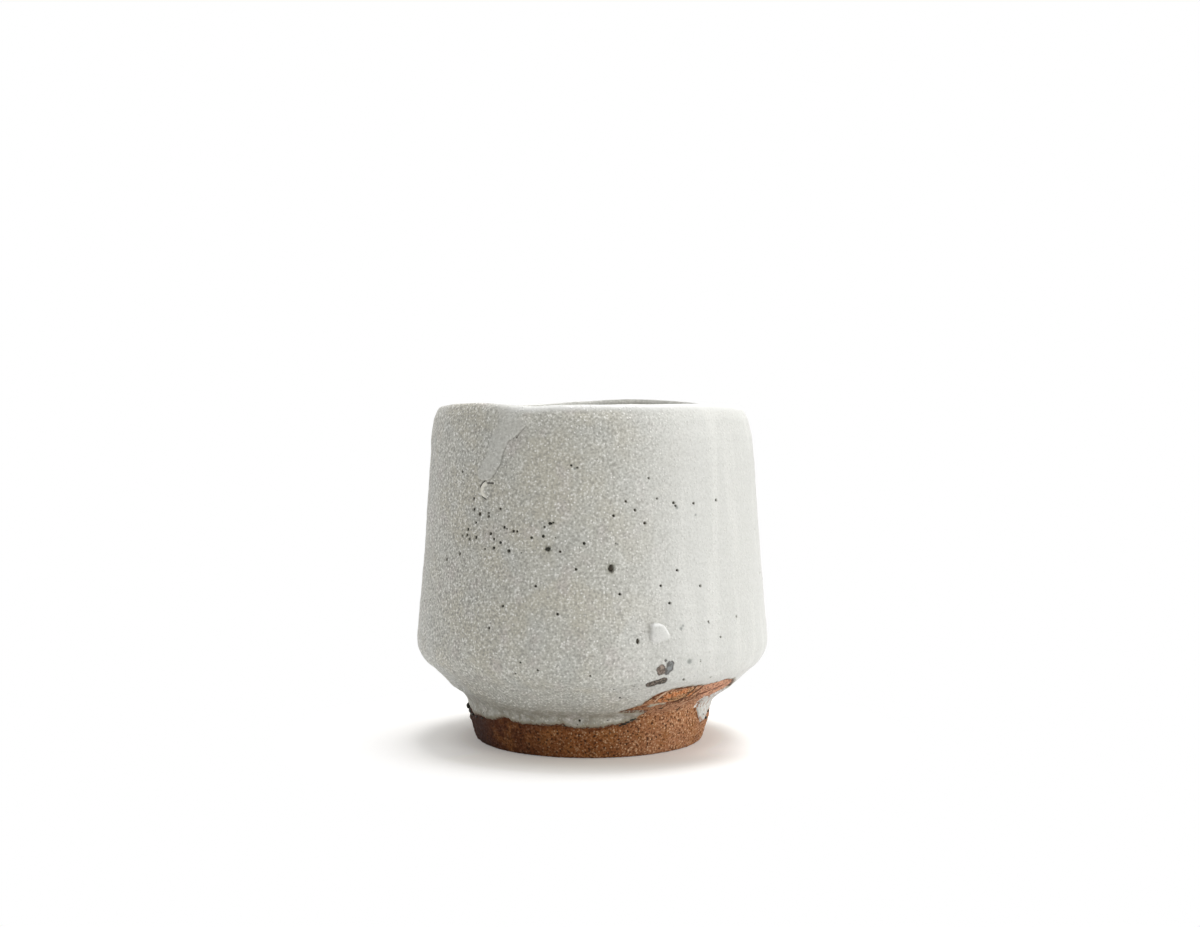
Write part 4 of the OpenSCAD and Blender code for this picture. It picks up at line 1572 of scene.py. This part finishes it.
@dataclass(frozen=True)
class WhiteGlaze:
    """The uneven white coat: sandy, satin, warm where thin and cool where thick, with painted light that
    pales it and calms its grain towards the lit right side.
    """

    name: str = "white_glaze"
    plain: Colour = (0.535, 0.527, 0.468)
    warm: Colour = (0.53, 0.508, 0.428)
    cool: Colour = (0.515, 0.516, 0.472)
    pink: Colour = (0.55, 0.512, 0.472)
    # The liner's own paler tone, and on the outer coat the painted light of its lit right side
    bright: Colour = (0.60, 0.60, 0.565)
    milky: Colour = (0.60, 0.597, 0.553)
    # The second glaze's milk with painted light, for the lit right side
    lit_side_milk: Colour = (0.72, 0.72, 0.69)
    # Colour of the painted highlight on the drop's crest
    painted_highlight_colour: Colour = (0.95, 0.95, 0.93)
    green: Colour = (0.31, 0.285, 0.22)
    fleck: Colour = (0.93, 0.92, 0.87)
    speck: Colour = (0.30, 0.288, 0.255)
    # Colour of the painted highlight on the roll of the lip
    lip: Colour = (0.74, 0.74, 0.715)
    crack: Colour = (0.13, 0.125, 0.105)
    relief: float = 0.17
    smooth_relief: float = 0.068
    pooled: bool = False
    smooth: bool = False
    layered: bool = False
    marks: CoatMarks | None = None

    def material(self) -> bpy.types.Material:
        """Builds the coat's nodes.

        Returns:
            The material.
        """
        s = Shading(self.name)
        right, height = s.axis("X"), s.axis("Z")
        colour = s.blend(s.span(s.grain(11.0, 2.0), 0.44, 0.62), self.plain, self.warm)
        colour = s.blend(s.span(s.grain(8.0, 2.0, 31.0), 0.5, 0.7, 0.0, 0.8), colour, self.cool)
        colour = s.blend(s.span(s.grain(6.0, 1.0, 57.0), 0.55, 0.78, 0.0, 0.8), colour, self.pink)
        if self.smooth:
            strength = s.span(s.grain(9.0, 1.0, 3.0), 0.3, 0.7, 0.25, 0.5)
            colour = s.blend(0.6, colour, self.bright)
        else:
            # Painted light and shade: flecks and specks stand out most on the shaded left, where light grazes
            # the grain, and fade on the lit right
            strength = s.both(s.span(right, 0.0, 0.026, 1.0, 0.22), s.span(right, -0.036, -0.01, 1.55, 1.0))
            # Painted light: the coat pales towards the lit right side
            colour = s.blend(s.span(right, -0.006, 0.026), colour, self.bright)
        streaks = s.span(s.grain(4.0, 2.0, 41.0, stretch=(1.0, 1.0, 0.1)), 0.5, 0.66)
        colour = s.blend(s.both(streaks, s.span(right, -0.004, 0.012, 0.0, 0.13)), colour, self.fleck)
        if self.layered:
            strength = s.both(strength, s.span(s.painted("calm"), 0.0, 1.0, 1.0, 0.45))
            # Painted light: the second glaze pales towards the lit right side
            milk = s.blend(s.span(right, -0.004, 0.008), self.milky, self.lit_side_milk)
            colour = s.mark("calm", 0.6, colour, milk)
            # Painted highlight on the drop's crest
            colour = s.blend(s.painted("painted_highlight"), colour, self.painted_highlight_colour)
        fine = s.grain(0.58, 2.0, 7.0)
        coarse = s.grain(1.5, 2.0, 13.0)
        away, shade = s.cells(0.74)
        dots = s.both(s.span(away, 0.42, 0.15), s.span(shade, 0.25, 0.85))
        if self.pooled:
            waist = s.span(height, 0.0162, 0.0098)
            patchy = s.span(s.grain(1.7, 3.0, 3.0), 0.36, 0.62, 0.2, 1.0)
            colour = s.blend(s.both(waist, patchy), colour, self.green)
            strength = s.maths("MINIMUM", s.maths("MAXIMUM", strength, s.both(waist, 0.55)),
                               s.span(height, 0.016, 0.011, 1.55, 0.75))
            dots = s.both(dots, s.span(height, 0.0095, 0.0155, 0.3, 1.0))
        flecks = s.maths("MAXIMUM", dots, s.span(fine, 0.54, 0.7, 0.0, 0.6))
        colour = s.blend(s.both(flecks, strength), colour, self.fleck)
        colour = s.blend(s.both(s.span(fine, 0.5, 0.33, 0.0, 0.66), strength), colour, self.speck)
        if self.layered or self.marks:
            # Painted highlight on the roll of the lip, on all but the shaded left side
            colour = s.mark("lip", s.span(right, -0.026, -0.013), colour, self.lip)
        if self.layered:
            colour = s.mark("crack", 0.7, colour, self.crack)
        if self.marks:
            colour = self.marks.over(s, colour, fine)
        roughness = s.span(s.maths("ADD", coarse, s.both(fine, 0.5)), 0.55, 0.95, 0.36, 0.52)
        sand = s.maths("ADD", s.maths("ADD", s.both(fine, 0.6), s.both(coarse, 0.5)), s.both(dots, 0.45))
        return s.finish(colour, roughness, sand, self.smooth_relief if self.smooth else self.relief)


@dataclass(frozen=True)
class PatchTints:
    """The colours of the bare patch, from the clay's own glow to the marks on it."""

    above: Colour = (0.63, 0.34, 0.21)
    rosy: Colour = (0.66, 0.33, 0.21)
    streak: Colour = (0.15, 0.05, 0.02)
    baked: tuple[Colour, Colour] = ((0.47, 0.25, 0.115), (0.62, 0.235, 0.09))
    # Colour of the painted shadow under the patch's upper edge and round the flash
    rust_and_shadow: Colour = (0.11, 0.034, 0.016)
    islet: Colour = (0.46, 0.45, 0.36)
    pale: Colour = (0.82, 0.6, 0.42)
    dark: Colour = (0.045, 0.03, 0.016)
    wash: Colour = (0.76, 0.76, 0.71)

    def under(self, s: Shading, colour: bpy.types.NodeSocket,
              right: bpy.types.NodeSocket) -> bpy.types.NodeSocket:
        """The clay's colour as the fire left it in the patch."""
        height = s.axis("Z")
        above = s.both(s.span(height, 0.0091, 0.0112, 0.0, 0.4), s.span(right, 0.006, 0.016))
        colour = s.blend(above, colour, self.above)
        colour = s.blend(s.span(right, 0.0235, 0.0275, 0.0, 0.85), colour, self.rosy)
        streak = s.span(s.grain(2.4, 3.0, 51.0, stretch=(0.3, 0.3, 2.6)), 0.54, 0.63, 0.0, 0.6)
        colour = s.blend(s.both(streak, s.span(height, 0.0108, 0.0132)), colour, self.streak)
        baked = s.blend(s.span(s.grain(3.4, 2.0, 83.0), 0.44, 0.56), *self.baked)
        return s.mark("flash", 0.85, colour, baked)

    def over(self, s: Shading, colour: bpy.types.NodeSocket) -> bpy.types.NodeSocket:
        """The colour with the marks that lie on the patch."""
        for name, strength, tint in (
                # First the painted shadow under the patch's upper edge and round the flash
                ("rust_and_shadow", 0.85, self.rust_and_shadow),
                ("islet", s.span(s.grain(0.9, 2.0, 63.0), 0.36, 0.56, 0.35, 0.85), self.islet),
                ("pale", 0.85, self.pale), ("dark", 0.9, self.dark),
                ("wash", s.span(s.grain(0.8, 2.0, 77.0), 0.4, 0.56), self.wash)):
            colour = s.mark(name, strength, colour, tint)
        return colour


@dataclass(frozen=True)
class BareClay:
    """Iron-rich stoneware, gritty and matt, darker under the hem and scorched at the left."""

    name: str
    umber: Colour = (0.105, 0.031, 0.011)
    brown: Colour = (0.235, 0.083, 0.024)
    tan: Colour = (0.40, 0.185, 0.09)
    ochre: Colour = (0.31, 0.125, 0.036)
    dark: Colour = (0.04, 0.018, 0.01)
    pale: Colour = (0.72, 0.47, 0.28)
    hem: Colour = (0.1, 0.03, 0.012)
    scorched: Colour = (0.07, 0.036, 0.029)
    gloss: float = 0.12
    relief: float = 0.2
    patch: PatchTints | None = None

    def material(self) -> bpy.types.Material:
        """Builds the clay's nodes.

        Returns:
            The material.
        """
        s = Shading(self.name)
        right = s.axis("X")
        colour = s.blend(s.span(right, -0.022, -0.004), self.umber, self.brown)
        colour = s.blend(s.span(right, 0.0, 0.021), colour, self.tan)
        colour = s.blend(s.span(s.grain(3.4, 2.0, 8.0), 0.45, 0.7, 0.0, 0.55), colour, self.ochre)
        if self.patch:
            colour = self.patch.under(s, colour, right)
        fine = s.grain(0.55, 2.0, 1.0)
        grit = s.grain(0.95, 2.0, 6.0)
        colour = s.blend(s.span(fine, 0.48, 0.32, 0.0, 0.85), colour, self.dark)
        away, shade = s.cells(0.66, 4.0)
        grains = s.both(s.span(away, 0.46, 0.18), s.span(shade, 0.4, 0.9))
        shown = s.span(right, -0.022, 0.018, 0.16, 0.95)
        colour = s.blend(s.both(grains, shown), colour, self.pale)
        colour = s.blend(s.both(s.span(fine, 0.56, 0.7, 0.0, 0.7), shown), colour, self.pale)
        holes, depth = s.cells(1.1, 9.0)
        pits = s.both(s.span(holes, 0.3, 0.12), s.span(depth, 0.5, 0.8))
        colour = s.blend(s.both(pits, 0.85), colour, self.dark)
        near = s.both(s.span(s.grain(1.4, 2.0, 2.0), 0.3, 0.6), 0.7)
        colour = s.mark("near_glaze", near, colour, self.hem)
        if self.patch:
            colour = self.patch.over(s, colour)
        else:
            colour = s.mark("burn", s.span(grit, 0.25, 0.6, 0.6, 1.0), colour, self.scorched)
        rough = s.maths("ADD", s.maths("ADD", fine, s.both(grit, 0.8)), s.both(grains, 0.4))
        return s.finish(colour, s.span(fine, 0.35, 0.7, 0.92, 0.6), s.maths("SUBTRACT", rough, pits),
                        self.relief, self.gloss)


@dataclass(frozen=True)
class MeltedIron:
    """Iron that melted to a dark glass: olive black, brown at its thin edges."""

    name: str = "melted_iron"
    black: Colour = (0.016, 0.015, 0.011)
    olive: Colour = (0.04, 0.041, 0.025)
    # The iron's own brown, in patches
    rust_and_shadow: Colour = (0.05, 0.036, 0.024)
    gloss: float = 0.28
    relief: float = 0.05

    def material(self) -> bpy.types.Material:
        """Builds the iron's nodes.

        Returns:
            The material.
        """
        s = Shading(self.name)
        colour = s.blend(s.span(s.grain(0.5, 1.0, 2.0), 0.42, 0.62), self.black, self.olive)
        colour = s.blend(s.span(s.grain(7.0, 1.0, 9.0), 0.5, 0.66, 0.0, 0.6), colour, self.rust_and_shadow)
        roughness = s.span(s.grain(0.4, 1.0), 0.3, 0.7, 0.3, 0.5)
        return s.finish(colour, roughness, s.grain(0.35, 1.0, 3.0), self.relief, self.gloss)


class Slot(Enum):
    """The record's material slots."""

    STONEWARE = "stoneware"
    WHITE = "white_glaze"
    LINER = "liner_glaze"
    SECOND = "second_glaze"
    IRON = "iron"


def fit(piece: bpy.types.Object, material: bpy.types.Material, node: str) -> None:
    """Dresses a finished piece and lets it stand for its CAD node.

    Args:
        piece: the piece.
        material: its finish.
        node: the CAD node that it replaces.
    """
    piece.data.materials.append(material)
    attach(piece, "root")
    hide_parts(node)
    LOG.info("%s replaces %s: %d faces", piece.name, node, len(piece.data.polygons))


@dataclass(frozen=True)
class Studio:
    """The pale floor, the soft lights and the camera at the photograph's place, in metres."""

    camera_at: Colour = (0.0019, -0.450, 0.0898)
    camera_down: float = 2.83
    lens: float = 54.84
    sensor: float = 36.0
    nearest: float = 0.01
    ambient: float = 0.41
    key_at: Colour = (1.12, -0.4, 0.5)
    key_size: float = 1.2
    key_power: float = 9.1
    top_at: Colour = (0.13, 0.2, 0.92)
    top_size: float = 0.6
    top_power: float = 7.0
    lit: Colour = (0.0, 0.0, 0.04)
    floor_r: float = 6.0
    floor_sides: int = 96
    bounced: Colour = (0.86, 0.86, 0.86)
    glow: Colour = (1.0, 0.97, 0.94)
    glow_power: float = 0.2
    # Colours of the painted contact shadow round the foot, of the open paper, and of the painted shadow in
    # front of the foot
    painted_contact_shadow: Colour = (0.73, 0.69, 0.65)
    open_floor: Colour = (1.0, 0.985, 0.965)
    painted_front_shadow: Colour = (0.6, 0.555, 0.49)

    def camera(self) -> bpy.types.Object:
        """Places the camera.

        Returns:
            The camera.
        """
        data = bpy.data.cameras.new("camera")
        data.lens = self.lens
        data.sensor_width = self.sensor
        data.clip_start = self.nearest
        camera = bpy.data.objects.new("camera", data)
        camera.location = self.camera_at
        camera.rotation_euler = (math.radians(90.0 - self.camera_down), 0.0, 0.0)
        bpy.context.scene.collection.objects.link(camera)
        bpy.context.scene.camera = camera
        return camera

    def lights(self) -> None:
        """Hangs the soft lights, one at the right and one overhead, and sets the world."""
        self._lamp("key", self.key_at, self.key_size, self.key_power)
        self._lamp("overhead", self.top_at, self.top_size, self.top_power)
        self._world()

    def _lamp(self, name: str, place: Colour, size: float, power: float) -> None:
        """Hangs one round soft light that faces the cup.

        Args:
            name: the light's name.
            place: where it hangs, in metres.
            size: its width, in metres.
            power: its power, in watts.
        """
        data = bpy.data.lights.new(name, "AREA")
        data.shape = "DISK"
        data.size = size
        data.energy = power
        lamp = bpy.data.objects.new(name, data)
        lamp.location = place
        lamp.rotation_euler = (Vector(self.lit) - Vector(place)).to_track_quat("-Z", "Y").to_euler()
        bpy.context.scene.collection.objects.link(lamp)

    def _world(self) -> None:
        """A dim even sky that shows as white to the camera and in the gloss."""
        world = bpy.data.worlds.new("studio")
        bpy.context.scene.world = world
        world.use_nodes = True
        n = Nodes(world.node_tree)
        paths = n.node("LightPath").outputs
        seen = n.maths("MAXIMUM", paths["Is Camera Ray"], paths["Is Glossy Ray"])
        strength = n.span(seen, 0.0, 1.0, self.ambient, 1.0)
        sky = n.node("Background", {"Color": (1.0, 1.0, 1.0), "Strength": strength})
        n.node("OutputWorld", {"Surface": sky.outputs[0]})

    def floor(self) -> bpy.types.Object:
        """Lays the floor, which shows as white but keeps the cup's shadow.

        Returns:
            The floor.
        """
        shape = bmesh.new()
        bmesh.ops.create_circle(shape, cap_ends=True, cap_tris=False, segments=self.floor_sides,
                                radius=self.floor_r)
        floor = made_object("floor", shape)
        floor.data.materials.append(self._floor_material())
        return floor

    def _floor_material(self) -> bpy.types.Material:
        """A pale floor whose far part turns to plain white for the camera, with a painted contact shadow
        round the foot and a painted shadow in front of it.
        """
        s = Shading("floor_paper")
        for socket, value in (("Base Color", self.bounced), ("Roughness", 0.9), ("Specular IOR Level", 0.1)):
            s.put(s.surface.inputs[socket], value)
        away = s.node("VectorMath", {0: s.place}, operation="LENGTH").outputs["Value"]
        # Painted contact shadow in a ring round the foot
        shade = s.blend(s.span(away, 0.0285, 0.0375), self.painted_contact_shadow, self.open_floor)
        # Painted shadow on the floor just in front of the foot
        before = s.both(s.span(s.axis("Y"), -0.014, -0.033), s.span(away, 0.056, 0.03))
        paper = s.node("BsdfDiffuse", {"Color": s.blend(before, shade, self.painted_front_shadow)})
        glow = s.node("Emission", {"Color": self.glow, "Strength": self.glow_power})
        near = s.node("AddShader", {0: paper.outputs[0], 1: glow.outputs[0]})
        white = s.node("Emission", {"Strength": 1.0})
        looks = s.node("MixShader", {0: s.span(away, 0.029, 0.08), 1: near.outputs[0], 2: white.outputs[0]})
        paths = s.node("LightPath").outputs
        seen = s.maths("MAXIMUM", paths["Is Camera Ray"], paths["Is Transmission Ray"])
        chosen = s.node("MixShader", {0: seen, 1: s.surface.outputs[0], 2: looks.outputs[0]})
        s.put(s.output.inputs["Surface"], chosen.outputs[0])
        return s.material


def main() -> None:
    """Builds the studio and every piece of the cup, in order."""
    logging.basicConfig(level=logging.INFO, format="%(name)s: %(message)s")
    studio = Studio()
    studio.camera()
    bpy.context.scene.view_settings.view_transform = "Standard"
    studio.lights()
    studio.floor()

    white = WhiteGlaze(pooled=True, marks=CoatMarks()).material()
    liner = WhiteGlaze(name="liner_glaze", smooth=True).material()
    second = WhiteGlaze(name="second_glaze", layered=True).material()
    iron = MeltedIron().material()
    body_clay = BareClay("clay_body_finish", patch=PatchTints()).material()
    foot_clay = BareClay("foot_finish").material()
    fit(ClayBody().build(), body_clay, "stoneware_body")
    fit(FootRing().build(), foot_clay, "foot_ring")
    fit(OuterCoat().build(), white, "outer_glaze")
    fit(Liner().build(), liner, "inner_glaze")
    fit(RUN.build(), second, "glaze_run")
    fit(DROP.build(), second, "glaze_drop")
    fit(IronGrains().build(), iron, "iron_spots")
    fit(HemBeads().build(), iron, "hem_beads")


if __name__ == "__main__":
    main()
